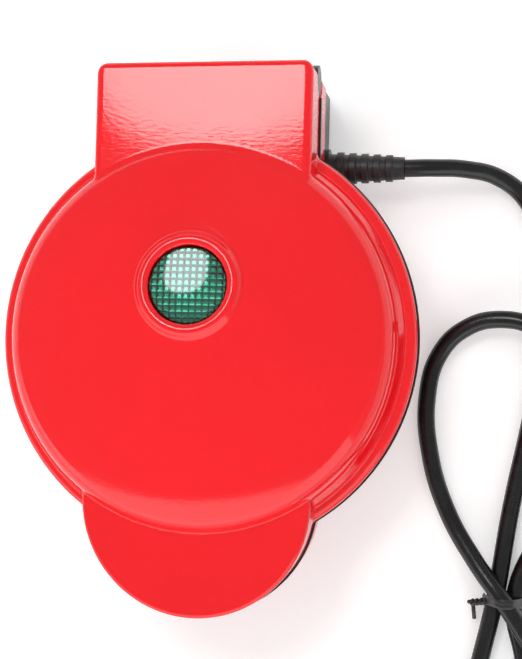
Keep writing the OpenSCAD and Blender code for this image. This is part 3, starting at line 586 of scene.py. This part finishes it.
def dome_form(r, z, s):
    """Flat cap, rounded shoulder, upright wall and slanting foot down to the rim."""
    centre = s.dome_height - s.cap_radius
    share = 1 - s.shoulder_radius / s.cap_radius
    sx = s.shoulder_start * share
    sz = centre + math.sqrt(s.cap_radius ** 2 - s.shoulder_start ** 2) * share
    cap = np.hypot(r, z - centre) - s.cap_radius
    shoulder = np.hypot(r - sx, z - sz) - s.shoulder_radius
    upright = r - sx - s.shoulder_radius
    top = np.where(sx * (z - centre) > r * (sz - centre), cap, np.where(z > sz, shoulder, upright))
    return footed(top, r, z, sx + s.shoulder_radius, sz, s)


def footed(wall, r, z, high_r, high_z, s):
    """A wall with the slanting foot that runs from it out to the rim."""
    overlap, crease = 0.002, 0.0008
    foot = slanted(r, z, (s.rim_radius - s.rim_step, s.foot_height), (high_r, high_z))
    return round_join(wall, np.maximum(foot, z - high_z - overlap), crease)


def base_form(r, z, s):
    """Upright wall of the base with its slanting foot."""
    upright = s.rim_radius - s.dome_inset
    foot_top = 0.0119
    return footed(r - upright, r, z, upright, foot_top, s)


def lens_tilt(s):
    return math.asin(s.lens_back / s.cap_radius)


def with_collar(outer, x, y, z, s):
    """Adds the rounded bead around the lens, and cuts the lens's hole."""
    tilt = lens_tilt(s)
    sink = 0.0002
    bead = s.lens_radius + LENS_FIT + s.collar
    height = z - s.dome_height + s.cap_radius
    along = y * math.sin(tilt) + height * math.cos(tilt)
    ring = np.hypot(x, y * math.cos(tilt) - height * math.sin(tilt))
    collar = np.hypot(ring - bead, along - s.cap_radius + sink) - s.collar
    return np.maximum(round_join(outer, collar, s.collar_foot), s.lens_radius + LENS_FIT - ring)


def shell_outside(x, y, z, dome, tall, s):
    """The outside of a half: its dome or wall with the rim, the hinge block and the tab."""
    rim_foot, tab_foot = 0.0004, 0.0005
    rim = round_cut(np.hypot(x, y) - s.rim_radius, z - s.rim_height, s.rim_round)
    block = round_cut(block_plan(x, y, s), z - tall, s.block_edge)
    tab = round_cut(tab_plan(x, y, s), z - s.tab_height, s.tab_edge)
    outer = round_join(dome, rim, rim_foot)
    outer = round_join(outer, np.maximum(block, -y), s.fillet)
    return round_join(outer, np.maximum(tab, y), tab_foot)


def shell_hollow(x, y, z, dome, tall, s):
    """The room inside a half, one wall's thickness in."""
    rim_top = 0.0012
    rim = np.maximum(np.hypot(x, y) - s.rim_radius + s.wall, z - s.rim_height + rim_top)
    block = np.maximum(np.maximum(block_plan(x, y, s), z - tall) + s.wall, -y)
    tab = np.maximum(np.maximum(tab_plan(x, y, s), z - s.tab_height) + s.wall, y)
    return np.minimum(np.minimum(np.minimum(dome + s.wall, rim), block), tab)


def shell_field(s, lid):
    """A half's red shell. Height z runs away from the parting plane."""
    gap = 0.0003 if lid else 0.00165
    groove, past_base = 0.0052, 0.01
    edge, cut_edge = 0.0003, 0.0004
    tall = s.block_height if lid else s.base_depth + past_base
    round_form = dome_form if lid else base_form

    def field(x, y, z):
        dome = round_form(np.hypot(x, y), z, s)
        outer = shell_outside(x, y, z, dome, tall, s)
        if lid:
            outer = with_collar(outer, x, y, z, s)
        shell = np.maximum(outer, -shell_hollow(x, y, z, dome, tall, s))
        shell = round_cut(shell, gap - z, edge)
        if not lid:
            shell = round_cut(shell, z - s.split, cut_edge)
        return round_cut(shell, groove - np.hypot(y - HINGE_Y, z), edge)

    return field


class CookerShells(bpy.types.Operator):
    """Builds the domed lid with its collar, block and tab, and the coloured part of the base"""

    bl_idname = "cooker.shells"
    bl_label = "Red shells"

    def execute(self, context):
        s = sizes()
        red = red_gloss()
        reach = 0.002
        for name, side, top in (("lid_skin", 1, s.dome_height), ("base_skin", -1, s.split)):
            low = (-s.rim_radius - reach, -s.tab_out - s.tab_radius - reach, -reach)
            high = (s.rim_radius + reach, s.block_back + reach, top + reach)
            points, quads, normals = surface_net(shell_field(s, side > 0), low, high, s.grain)
            points, normals, quads = into_frame(points, normals, quads, side)
            mesh = mesh_from(name, points, quads, normals)
            body, node = ("lid", "lid_shell") if side > 0 else ("base", "base_shell")
            new_piece(name, mesh, body, red, [node])
        return {"FINISHED"}


# The cooking plates

def between(value, low, high):
    """Smooth step from 0 at low to 1 at high."""
    t = np.clip((value - low) / (high - low), 0, 1)
    return t * t * (3 - 2 * t)


def line_ridge(distance, width):
    """Round-topped ridge of height 1 along the line where the distance is 0."""
    return np.exp(-(distance / width) ** 2)


def arc(x, y, centre_x, centre_y, radius):
    """Distance out from a round arc."""
    return np.hypot(x - centre_x, y - centre_y) - radius


def fish_plan(x, y):
    """Distances to the edges of the body, the tail and the fins, negative inside."""
    back = arc(x, y, -FISH_SHIFT, -FISH_ARC_Y, FISH_ARC)
    belly = arc(x, y, -FISH_SHIFT, FISH_ARC_Y, FISH_ARC)
    ay = np.abs(y)
    lobe = np.maximum(arc(x, ay, 0.027, 0.028, 0.023), arc(x, ay, 0.043, 0.005, 0.019))
    lobe = np.maximum(lobe, np.maximum(0.018 - x, np.maximum(x - 0.046, ay - 0.018)))
    root = np.maximum(np.maximum(0.019 - x, x - 0.031), ay - 0.006)
    tail = np.maximum(round_join(lobe, root, 0.003), -arc(x, y, 0.052, 0, 0.011))
    back_fin = np.maximum(arc(x, y, -0.003, 0.016, 0.013), arc(x, y, -0.011, 0.021, 0.019))
    belly_fin = np.maximum(arc(x, y, 0.002, -0.016, 0.013), arc(x, y, -0.006, -0.021, 0.019))
    return np.maximum(back, belly), tail, np.minimum(back_fin, belly_fin)


def mould_depth(x, y):
    """Depth of the fish-shaped mould below the plate's face."""
    body, tail, fins = fish_plan(x, y)
    edge, deeper_tail, draft, lead = 0.0045, 0.0005, 0.0016, 0.0006
    depth = edge * between(-body, -lead, draft)
    depth = np.maximum(depth, (edge + deeper_tail) * between(-tail, -lead, draft))
    depth = np.maximum(depth, edge * between(-fins, -lead, draft))
    above, ball, blend = 0.119, 0.1251, 0.00026
    upper = ball ** 2 - (x + FISH_SHIFT) ** 2 - (y - FISH_ARC_Y) ** 2
    under = ball ** 2 - (x + FISH_SHIFT) ** 2 - (y + FISH_ARC_Y) ** 2
    bulge = 0.5 * (upper + under - np.hypot(upper - under, blend))
    depth += np.clip(np.sqrt(np.maximum(bulge, 0)) - above, 0, None) * between(-body, 0.0004, 0.003)
    return depth, body, tail, fins


def scale_ridges(x, y, body):
    """Staggered columns of scales on the middle of the body."""
    relief = np.zeros_like(x)
    pitch, column_step, first, radius = 0.0052, 0.0047, -0.0125, 0.0036
    for col in range(7):
        shift = 0.5 * pitch * (col % 2)
        cx = first + col * column_step
        row = (y - shift) / pitch
        dy = (row - np.round(row)) * pitch
        front = between(x - cx, -0.0004, 0.0010)
        relief = np.maximum(relief, line_ridge(np.hypot(x - cx, dy) - radius, 0.00042) * front)
    return relief * (between(-body, 0.0022, 0.0038) * between(x, -0.0130, -0.0112)
                     * between(-x, -0.0245, -0.0225))


def head_ridges(x, y, body):
    """The gill, the eye and the mouth."""
    gill_x = -0.037
    gill = line_ridge(np.abs(arc(x, y, gill_x, 0, 0.0195)), 0.0006) * (x > gill_x)
    gill = gill * between(-np.abs(y), -0.0135, -0.0115)
    eye = np.hypot(x + 0.0305, y - 0.0052)
    eye_ring = line_ridge(eye - 0.0024, 0.00042)
    pupil = 0.9 * between(-eye, -0.0011, -0.0006)
    mouth = np.abs(y + 0.0012 + 12.0 * (x + 0.0395) ** 2)
    mouth = line_ridge(mouth, 0.0004) * between(-x, 0.0348, 0.0362) * (body < -0.0012)
    return np.maximum(np.maximum(gill, eye_ring), np.maximum(pupil, mouth))


def fin_ridges(x, y, body, tail, fins):
    """Rays that fan out over the tail, and slanting rays on the fins."""
    ray_x, ray_angle, fin_pitch = 0.015, 0.125, 0.0026
    angle = np.arctan2(y, x - ray_x)
    rays = np.abs(angle / ray_angle - np.round(angle / ray_angle)) * ray_angle * np.hypot(x - ray_x, y)
    ray_zone = between(-tail, 0.0012, 0.0024) * between(x, 0.0265, 0.0285)
    slant = (x + 0.35 * np.abs(y)) / fin_pitch
    fin_rays = np.abs(slant - np.round(slant)) * fin_pitch
    fin_zone = between(-fins, 0.0010, 0.0020) * between(body, -0.0004, 0.0010)
    return np.maximum(line_ridge(rays, 0.0004) * ray_zone, line_ridge(fin_rays, 0.0004) * fin_zone)


def mould_relief(x, y, body, tail, fins):
    """Ridges that print scales, gill, eye, mouth and fin rays on the cake."""
    relief = np.maximum(scale_ridges(x, y, body), head_ridges(x, y, body))
    relief = np.maximum(relief, fin_ridges(x, y, body, tail, fins))
    side_fin = np.hypot((x + 0.0085) / 1.5, y + 0.0055) - 0.0046
    return np.maximum(relief * between(side_fin, 0.0, 0.0008), line_ridge(side_fin, 0.00045))


def disc_grid(radius, count):
    """Points of a square grid drawn out to a disc, row by row."""
    t = np.linspace(-1, 1, count)
    u, v = np.meshgrid(t, t, indexing="ij")
    x = u * np.sqrt(1 - v * v / 2)
    y = v * np.sqrt(1 - u * u / 2)
    return x * radius, y * radius


def plate_face(s, count):
    """The plate's front: the mould and its relief, a channel near the edge and a rounded rim."""
    lift, ridge, edge = 0.00035, 0.00055, 0.0006
    channel_radius, channel_depth, channel_width = 0.0538, 0.0009, 0.0007
    x, y = disc_grid(s.plate_radius, count)
    r = np.hypot(x, y)
    depth, body, tail, fins = mould_depth(x, y)
    depth = depth - ridge * mould_relief(x, y, body, tail, fins) * between(depth, 0.002, 0.004)
    depth += channel_depth * line_ridge(r - channel_radius, channel_width)
    depth += edge * between(r, s.plate_radius - edge, s.plate_radius) ** 2
    return np.stack([x, y, lift + depth], -1).reshape(-1, 3)


def plate_mesh(name, side, s):
    """A cast plate: the mould's face, then a plain back of rings, each with its radius and height."""
    count = 271
    points = plate_face(s, count)
    index = np.arange(count * count).reshape(count, count)
    quads = np.stack([index[:-1, :-1], index[:-1, 1:], index[1:, 1:], index[1:, :-1]], -1).reshape(-1, 4)
    border = np.concatenate([index[0, :-1], index[:-1, -1], index[-1, :0:-1], index[:0:-1, 0]])
    rings = [border]
    backs = ((s.plate_radius, 0.00155), (0.0556, 0.0016), (0.0556, 0.0065), (0.0545, 0.0070),
             (0.0480, 0.0070), (0.0472, 0.0125), (0.0300, 0.0125), (0.0100, 0.0125))
    direction = points[border] / (s.plate_radius, s.plate_radius, 1)
    for radius, z in backs:
        ring = np.stack([direction[:, 0] * radius, direction[:, 1] * radius, np.full(len(border), z)], 1)
        rings.append(np.arange(len(border)) + len(points))
        points = np.concatenate([points, ring])
    for a, b in zip(rings, rings[1:]):
        quads = np.concatenate([quads, np.stack([a, np.roll(a, -1), np.roll(b, -1), b], 1)])
    hub = len(points)
    points = np.concatenate([points, [(0, 0, backs[-1][1])]])
    placed = points * (1, 1, side) + (0, CIRCLE_Y, PART_Z)
    last = rings[-1]
    fan = [(int(a), int(b), hub) for a, b in zip(last, np.roll(last, -1))]
    faces = [tuple(q) for q in quads.tolist()] + fan
    if side < 0:
        faces = [f[::-1] for f in faces]
    return smooth_mesh(name, placed, faces)


class CookerPlates(bpy.types.Operator):
    """Builds the two coated plates with a fish-shaped mould in each"""

    bl_idname = "cooker.plates"
    bl_label = "Cooking plates"

    def execute(self, context):
        coating = nonstick()
        for level, side, body in (("upper", 1, "lid"), ("lower", -1, "base")):
            name = level + "_mould"
            mesh = plate_mesh(name, side, sizes())
            new_piece(name, mesh, body, coating, [level + "_plate"])
        return {"FINISHED"}


# The pilot lens

def lens_profile(s):
    """Radii and heights from the middle of the lens's front, over its flange, to the middle of its back."""
    rise, drop, flange, hub, rows = 0.00071, 0.0004, 0.0040, 0.0001, 24
    crown = (s.lens_radius ** 2 + rise ** 2) / (2 * rise)
    front = [hub + (s.lens_radius - 0.0005) * i / rows for i in range(rows + 1)]
    profile = [(r, rise - drop - crown + math.sqrt(crown ** 2 - r * r)) for r in front]
    brow, flange_top = profile[-1][1], -flange + 0.0008
    flange_radius = s.lens_radius + 0.0014
    return profile + [(s.lens_radius - 0.0002, brow - 0.00025), (s.lens_radius, brow - 0.0007),
                      (s.lens_radius, flange_top), (flange_radius, flange_top),
                      (flange_radius, -flange), (hub, -flange)]


def turned_mesh(name, profile, steps=96):
    """Turns a profile of radii and heights round the z axis and closes both ends."""
    turn = np.linspace(0, 2 * math.pi, steps, endpoint=False)
    rings = [np.stack([r * np.cos(turn), r * np.sin(turn), np.full(steps, z)], 1) for r, z in profile]
    index = np.arange(len(profile) * steps).reshape(len(profile), steps)
    faces = []
    for a, b in zip(index, index[1:]):
        faces += np.stack([a, b, np.roll(b, -1), np.roll(a, -1)], 1).tolist()
    faces += [index[0].tolist(), index[-1][::-1].tolist()]
    return smooth_mesh(name, np.concatenate(rings), faces)


class CookerLens(bpy.types.Operator):
    """Builds the green pilot lens that sits in the lid's collar"""

    bl_idname = "cooker.lens"
    bl_label = "Pilot lens"

    def execute(self, context):
        s = sizes()
        mesh = turned_mesh("pilot_lens", lens_profile(s))
        new_piece("pilot_lens", mesh, "lid", green_lens(), ["indicator_lens"])
        lean = 0.03
        centre = Matrix.Translation((0, CIRCLE_Y, PART_Z + s.dome_height - s.cap_radius))
        seat = Matrix.Translation((0, 0, s.cap_radius)) @ Matrix.Rotation(lean, 4, "Y")
        mesh.transform(centre @ Matrix.Rotation(-lens_tilt(s), 4, "X") @ seat)
        return {"FINISHED"}


# The mains lead

def wire_rings(path, half_width, half_thick, side=(0, 1, 0), sides=14):
    """Rings of an oval wire along a path, drawn in to blunt ends; side is the direction of its width."""
    path = np.asarray(path, float)
    along = np.gradient(path, axis=0)
    along /= np.linalg.norm(along, axis=1)[:, None]
    side = np.asarray(side, float)
    across = side - (along @ side)[:, None] * along
    across /= np.linalg.norm(across, axis=1)[:, None]
    up = np.cross(along, across)
    turn = np.linspace(0, 2 * math.pi, sides, endpoint=False)
    ring = half_width * np.cos(turn)[:, None, None] * across + half_thick * np.sin(turn)[:, None, None] * up
    ring = ring.transpose(1, 0, 2)
    tip = half_thick * 0.5
    first = [path[:1] - tip * along[:1], ring[:1] * 0.6 + path[0] - tip * 0.7 * along[0]]
    last = [ring[-1:] * 0.6 + path[-1] + tip * 0.7 * along[-1], path[-1:] + tip * along[-1:]]
    first[0] = np.repeat(first[0][:, None], sides, 1)
    last[1] = np.repeat(last[1][:, None], sides, 1)
    return np.concatenate([first[0], first[1], path[:, None] + ring, last[0], last[1]])


def wire_mesh(name, wires):
    """One mesh of several wires, each given as rings of points."""
    points, faces, start = [], [], 0
    for rings in wires:
        count, sides = rings.shape[:2]
        index = start + np.arange(count * sides).reshape(count, sides)
        quads = np.stack([index[:-1], np.roll(index[:-1], -1, 1), np.roll(index[1:], -1, 1), index[1:]], -1)
        points.append(rings.reshape(-1, 3))
        faces.append(quads.reshape(-1, 4)[:, ::-1])
        start += count * sides
    return mesh_from(name, np.concatenate(points), np.concatenate(faces))


def tie_winding(s):
    """Path of the wire that goes twice round the three runs of the lead."""
    runs = np.array(TIE_RUNS)
    reach = s.cord_radius + 0.00065
    turns = np.radians(np.linspace(200, 200 - 720, 260))
    heading = np.stack([np.cos(turns), np.sin(turns)], 1)
    widest = runs[np.argmax(heading @ runs.T, axis=1)]
    loop = widest + reach * heading
    loop = np.stack([np.convolve(np.pad(c, 3, "edge"), np.ones(7) / 7, "valid") for c in loop.T], 1)
    y = TIE_Y + np.linspace(0.0011, -0.0011, len(loop))
    return np.stack([loop[:, 0], y, loop[:, 1]], 1)


def tie_wires(s):
    """A coated wire wound round the lead, its ends twisted together and one of them bent over."""
    wires = [wire_rings(tie_winding(s), 0.0010, 0.00045)]
    start, end = np.array([0.0842, TIE_Y, 0.0064]), np.array([0.0800, TIE_Y - 0.0008, 0.0050])
    t = np.linspace(0, 1, 60)[:, None]
    for phase in (0.0, math.pi):
        spin = phase + t * 2 * math.pi * 1.6
        offset = np.cos(spin) * (0, 1, 0) + np.sin(spin) * (0.35, 0, 0.94)
        twist = start + t * (end - start) + 0.00062 * offset
        wires.append(wire_rings(twist, 0.00058, 0.00058))
    bend = np.linspace(0, math.pi, 24)[:, None]
    middle = end + (-0.0002, 0.0, -0.0007)
    fold = middle + 0.0008 * (np.sin(bend) * (-1, 0, 0) + np.cos(bend) * (0, 0.3, 0.95))
    wires.append(wire_rings(fold, 0.0006, 0.00055))
    t = np.linspace(0, 1, 30)[:, None]
    tail = end + (0.0004, -0.0004, -0.0006) + t * (0.0004, -0.0048, -0.0002) + t ** 2 * (0, 0, -0.0014)
    wires.append(wire_rings(tail, 0.00065, 0.0005, (1, 0, 0)))
    return wires


def lead_curve(s):
    """The lead as a round bevelled curve along its route."""
    curve = bpy.data.curves.new("mains_lead", "CURVE")
    curve.dimensions = "3D"
    curve.bevel_depth = s.cord_radius
    curve.bevel_resolution = 6
    curve.resolution_u = 8
    curve.use_fill_caps = True
    spline = curve.splines.new("BEZIER")
    spline.bezier_points.add(len(CORD_ROUTE) - 1)
    for point, place in zip(spline.bezier_points, CORD_ROUTE):
        point.co = Vector(place) + Vector((0, 0, LEAD_LIFT))
        point.handle_left_type = "AUTO"
        point.handle_right_type = "AUTO"
    return curve


class CookerCord(bpy.types.Operator):
    """Lays the mains lead along its route, with its tie"""

    bl_idname = "cooker.cord"
    bl_label = "Mains lead"

    def execute(self, context):
        s = sizes()
        rubber = lead_rubber()
        lead = new_piece("mains_lead", lead_curve(s), "base", rubber, ["power_cord"])
        cover = black_plastic("tie_cover", 0.22, 0.34, 0.00001, 0.0)
        wires = wire_mesh("wire_tie", tie_wires(s))
        tie = new_piece("wire_tie", wires, "base", cover, ["cord_tie"])
        return {"FINISHED"}


# Finishes of the solids that stay as they are

class CookerFinishes(bpy.types.Operator):
    """Gives the carried-over solids their finishes"""

    bl_idname = "cooker.finishes"
    bl_label = "Finishes"

    def execute(self, context):
        black = black_plastic()
        rubber = black_plastic("foot_rubber", 0.55, 0.75, 0.00004, 0.0005)
        moulded_lead = black_plastic("lead_mouldings", 0.3, 0.45, 0.00002, 0.0005)
        bare = steel()
        sheath = steel("heater_sheath", (0.22, 0.21, 0.20), 0.35, 0.5)
        ceramic = plain_part("ceramic", (0.80, 0.76, 0.68), 0.5, 0.7)
        wire = plain_part("glass_fibre_wire", (0.55, 0.55, 0.53), 0.6, 0.8, 0.00006)
        finishes = {
            "black_plastic": black, "bright_steel": bare, "rubber_feet": rubber,
            "heater_steel": sheath, "cord_rubber": moulded_lead, "sleeve": moulded_lead,
            "ceramic": ceramic, "glass_fibre_wire": wire, "lamp_glass": lamp_glass(),
        }
        slots = {row["node"]: row["material_slot"] for row in frame["record"]["subparts"]}
        for node, piece in NODES.items():
            finish = finishes.get(slots[node])
            if finish:
                piece.data.materials.clear()
                piece.data.materials.append(finish)
        return {"FINISHED"}


# Studio

def leaning(tree, direction):
    """How far the world's direction leans towards the given one."""
    lean = tree.nodes.new("ShaderNodeVectorMath")
    lean.operation = "DOT_PRODUCT"
    tree.links.new(tree.nodes.new("ShaderNodeTexCoord").outputs["Generated"], lean.inputs[0])
    lean.inputs[1].default_value = direction
    return lean.outputs["Value"]


def soft_box(place, half_x, half_y, strength):
    """A diffusing panel with rounded corners that hangs level and shines down."""
    steps, power = 64, 2 / 2.6
    outline = []
    for i in range(steps):
        turn = 2 * math.pi * i / steps
        x, y = [math.copysign(abs(v) ** power, v) for v in (math.cos(turn), math.sin(turn))]
        outline.append((half_x * x, half_y * y, 0))
    mesh = bpy.data.meshes.new("soft_box")
    mesh.from_pydata(outline, [], [list(range(steps))[::-1]])
    panel = add_object("soft_box", mesh)
    panel.location = place
    material = bpy.data.materials.new("soft_box")
    material.use_nodes = True
    tree = material.node_tree
    tree.nodes.clear()
    glow = tree.nodes.new("ShaderNodeEmission")
    back = tree.nodes.new("ShaderNodeNewGeometry").outputs["Backfacing"]
    tree.links.new(remap(tree, back, 0.0, 1.0, strength, 0.0), glow.inputs["Strength"])
    out = tree.nodes.new("ShaderNodeOutputMaterial")
    tree.links.new(glow.outputs[0], out.inputs["Surface"])
    mesh.materials.append(material)


def glow_where_seen(tree, shader, strength):
    """Lifts a surface towards white for the camera and for mirror images, but casts no light."""
    path = tree.nodes.new("ShaderNodeLightPath")
    mirrored = calc(tree, "MAXIMUM", path.outputs["Is Glossy Ray"], path.outputs["Is Transmission Ray"])
    seen = calc(tree, "MAXIMUM", path.outputs["Is Camera Ray"], mirrored)
    shader.inputs["Emission Color"].default_value = (1, 1, 1, 1)
    tree.links.new(calc(tree, "MULTIPLY", seen, strength), shader.inputs["Emission Strength"])


def floor_material():
    """Pale surface that stays white to the eye where no shadow falls."""
    material, tree, shader = finish_base("pale_floor", tuple(colours().floor), 0.6)
    shader.inputs["Specular IOR Level"].default_value = 0.2
    drifting_gloss(tree, shader, 20.0, 0.55, 0.7)
    glow_where_seen(tree, shader, 0.3)
    return material


def backdrop_material():
    """White paper round the edge of the floor."""
    material, tree, shader = finish_base("backdrop", tuple(colours().floor), 0.9)
    drifting_gloss(tree, shader, 1.0, 0.85, 0.95)
    glow_where_seen(tree, shader, 0.7)
    return material


def fill_lamp(place, target, size, power):
    """A broad soft lamp that evens the light over the lid's back, without a mirror image of itself."""
    lamp = bpy.data.lights.new("fill_lamp", "AREA")
    lamp.shape = "DISK"
    lamp.size = size
    lamp.energy = power
    holder = add_object("fill_lamp", lamp)
    holder.location = place
    holder.rotation_euler = (Vector(target) - Vector(place)).to_track_quat("-Z", "Y").to_euler()
    holder.visible_glossy = False


def add_camera(scene):
    """A camera high above the cooker and a little to its right."""
    camera = bpy.data.cameras.new("camera")
    camera.lens = 74.9
    camera.sensor_width = 36.0
    place = (0.08841, -0.01280, 0.44111)
    turn = (Matrix.Rotation(math.radians(-2.45), 3, "X") @ Matrix.Rotation(math.radians(-10.0), 3, "Y")
            @ Matrix.Rotation(math.radians(-1.44), 3, "Z"))
    holder = add_object("camera", camera)
    holder.matrix_world = Matrix.Translation(place) @ turn.transposed().to_4x4()
    scene.camera = holder


def add_world(scene):
    """White surroundings, brightest low down at the front left."""
    world = bpy.data.worlds.new("studio")
    world.use_nodes = True
    tree = world.node_tree
    sky = tree.nodes["Background"]
    sky.inputs["Color"].default_value = (1.0, 1.0, 1.0, 1.0)
    low = remap(tree, leaning(tree, (-0.169, 0.72, 1.0)), 0.157, 0.18, 1.0, 0.0)
    front = remap(tree, leaning(tree, (-0.6, -0.8, 0.0)), -0.02, 0.03, 0.1, 1.6)
    tree.links.new(calc(tree, "MULTIPLY_ADD", low, front, 0.5), sky.inputs["Strength"])
    scene.world = world


def add_floor():
    """A wide pale floor with a low wall of white paper round it."""
    floor = bpy.data.meshes.new("floor")
    half, wall = 20.0, 1.2
    ring = [(-half, -half), (half, -half), (half, half), (-half, half)]
    corners = [(x, y, 0) for x, y in ring] + [(x, y, wall) for x, y in ring]
    walls = [(i + 4, (i + 1) % 4 + 4, (i + 1) % 4, i) for i in range(4)]
    floor.from_pydata(corners, [], [(0, 1, 2, 3)] + walls)
    for material in (floor_material(), backdrop_material()):
        floor.materials.append(material)
    floor.polygons.foreach_set("material_index", [0, 1, 1, 1, 1])
    add_object("floor", floor)


class CookerStage(bpy.types.Operator):
    """Sets up the camera, the lights, the world and the pale floor"""

    bl_idname = "cooker.stage"
    bl_label = "Stage"

    def execute(self, context):
        context.scene.view_settings.view_transform = "Standard"
        add_camera(context.scene)
        add_world(context.scene)
        add_floor()
        soft_box((-0.155, 0.335, 0.80), 0.13, 0.15, 10.0)
        fill_lamp((0.1, 0.9, 0.9), (0.0, 0.0, 0.05), 0.6, 2.2)
        return {"FINISHED"}


class VIEW3D_PT_cooker(bpy.types.Panel):
    """Lists the cooker's pieces and its main sizes and colours"""

    bl_label = "Cooker"
    bl_space_type = "VIEW_3D"
    bl_region_type = "UI"
    bl_category = "Cooker"

    def draw(self, context):
        for operator in OPERATORS:
            self.layout.operator(operator.bl_idname)
        for group in (context.scene.cooker_sizes, context.scene.cooker_colours):
            for name in group.__annotations__:
                self.layout.prop(group, name)


OPERATORS = (CookerStage, CookerCord, CookerShells, CookerPlates, CookerLens, CookerFinishes)
CLASSES = (CookerSizes, CookerColours, *OPERATORS, VIEW3D_PT_cooker)


def register():
    for cls in CLASSES:
        bpy.utils.register_class(cls)
    bpy.types.Scene.cooker_sizes = PointerProperty(type=CookerSizes)
    bpy.types.Scene.cooker_colours = PointerProperty(type=CookerColours)


def unregister():
    del bpy.types.Scene.cooker_colours
    del bpy.types.Scene.cooker_sizes
    for cls in reversed(CLASSES):
        bpy.utils.unregister_class(cls)


def main():
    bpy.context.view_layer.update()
    register()
    for make in (make_ripple_group, make_patch_group, make_grain_group, make_brushed_group):
        make()
    bpy.ops.cooker.stage()
    bpy.ops.cooker.cord()
    bpy.ops.cooker.shells()
    bpy.ops.cooker.plates()
    bpy.ops.cooker.lens()
    bpy.ops.cooker.finishes()


if __name__ == "__main__":
    main()
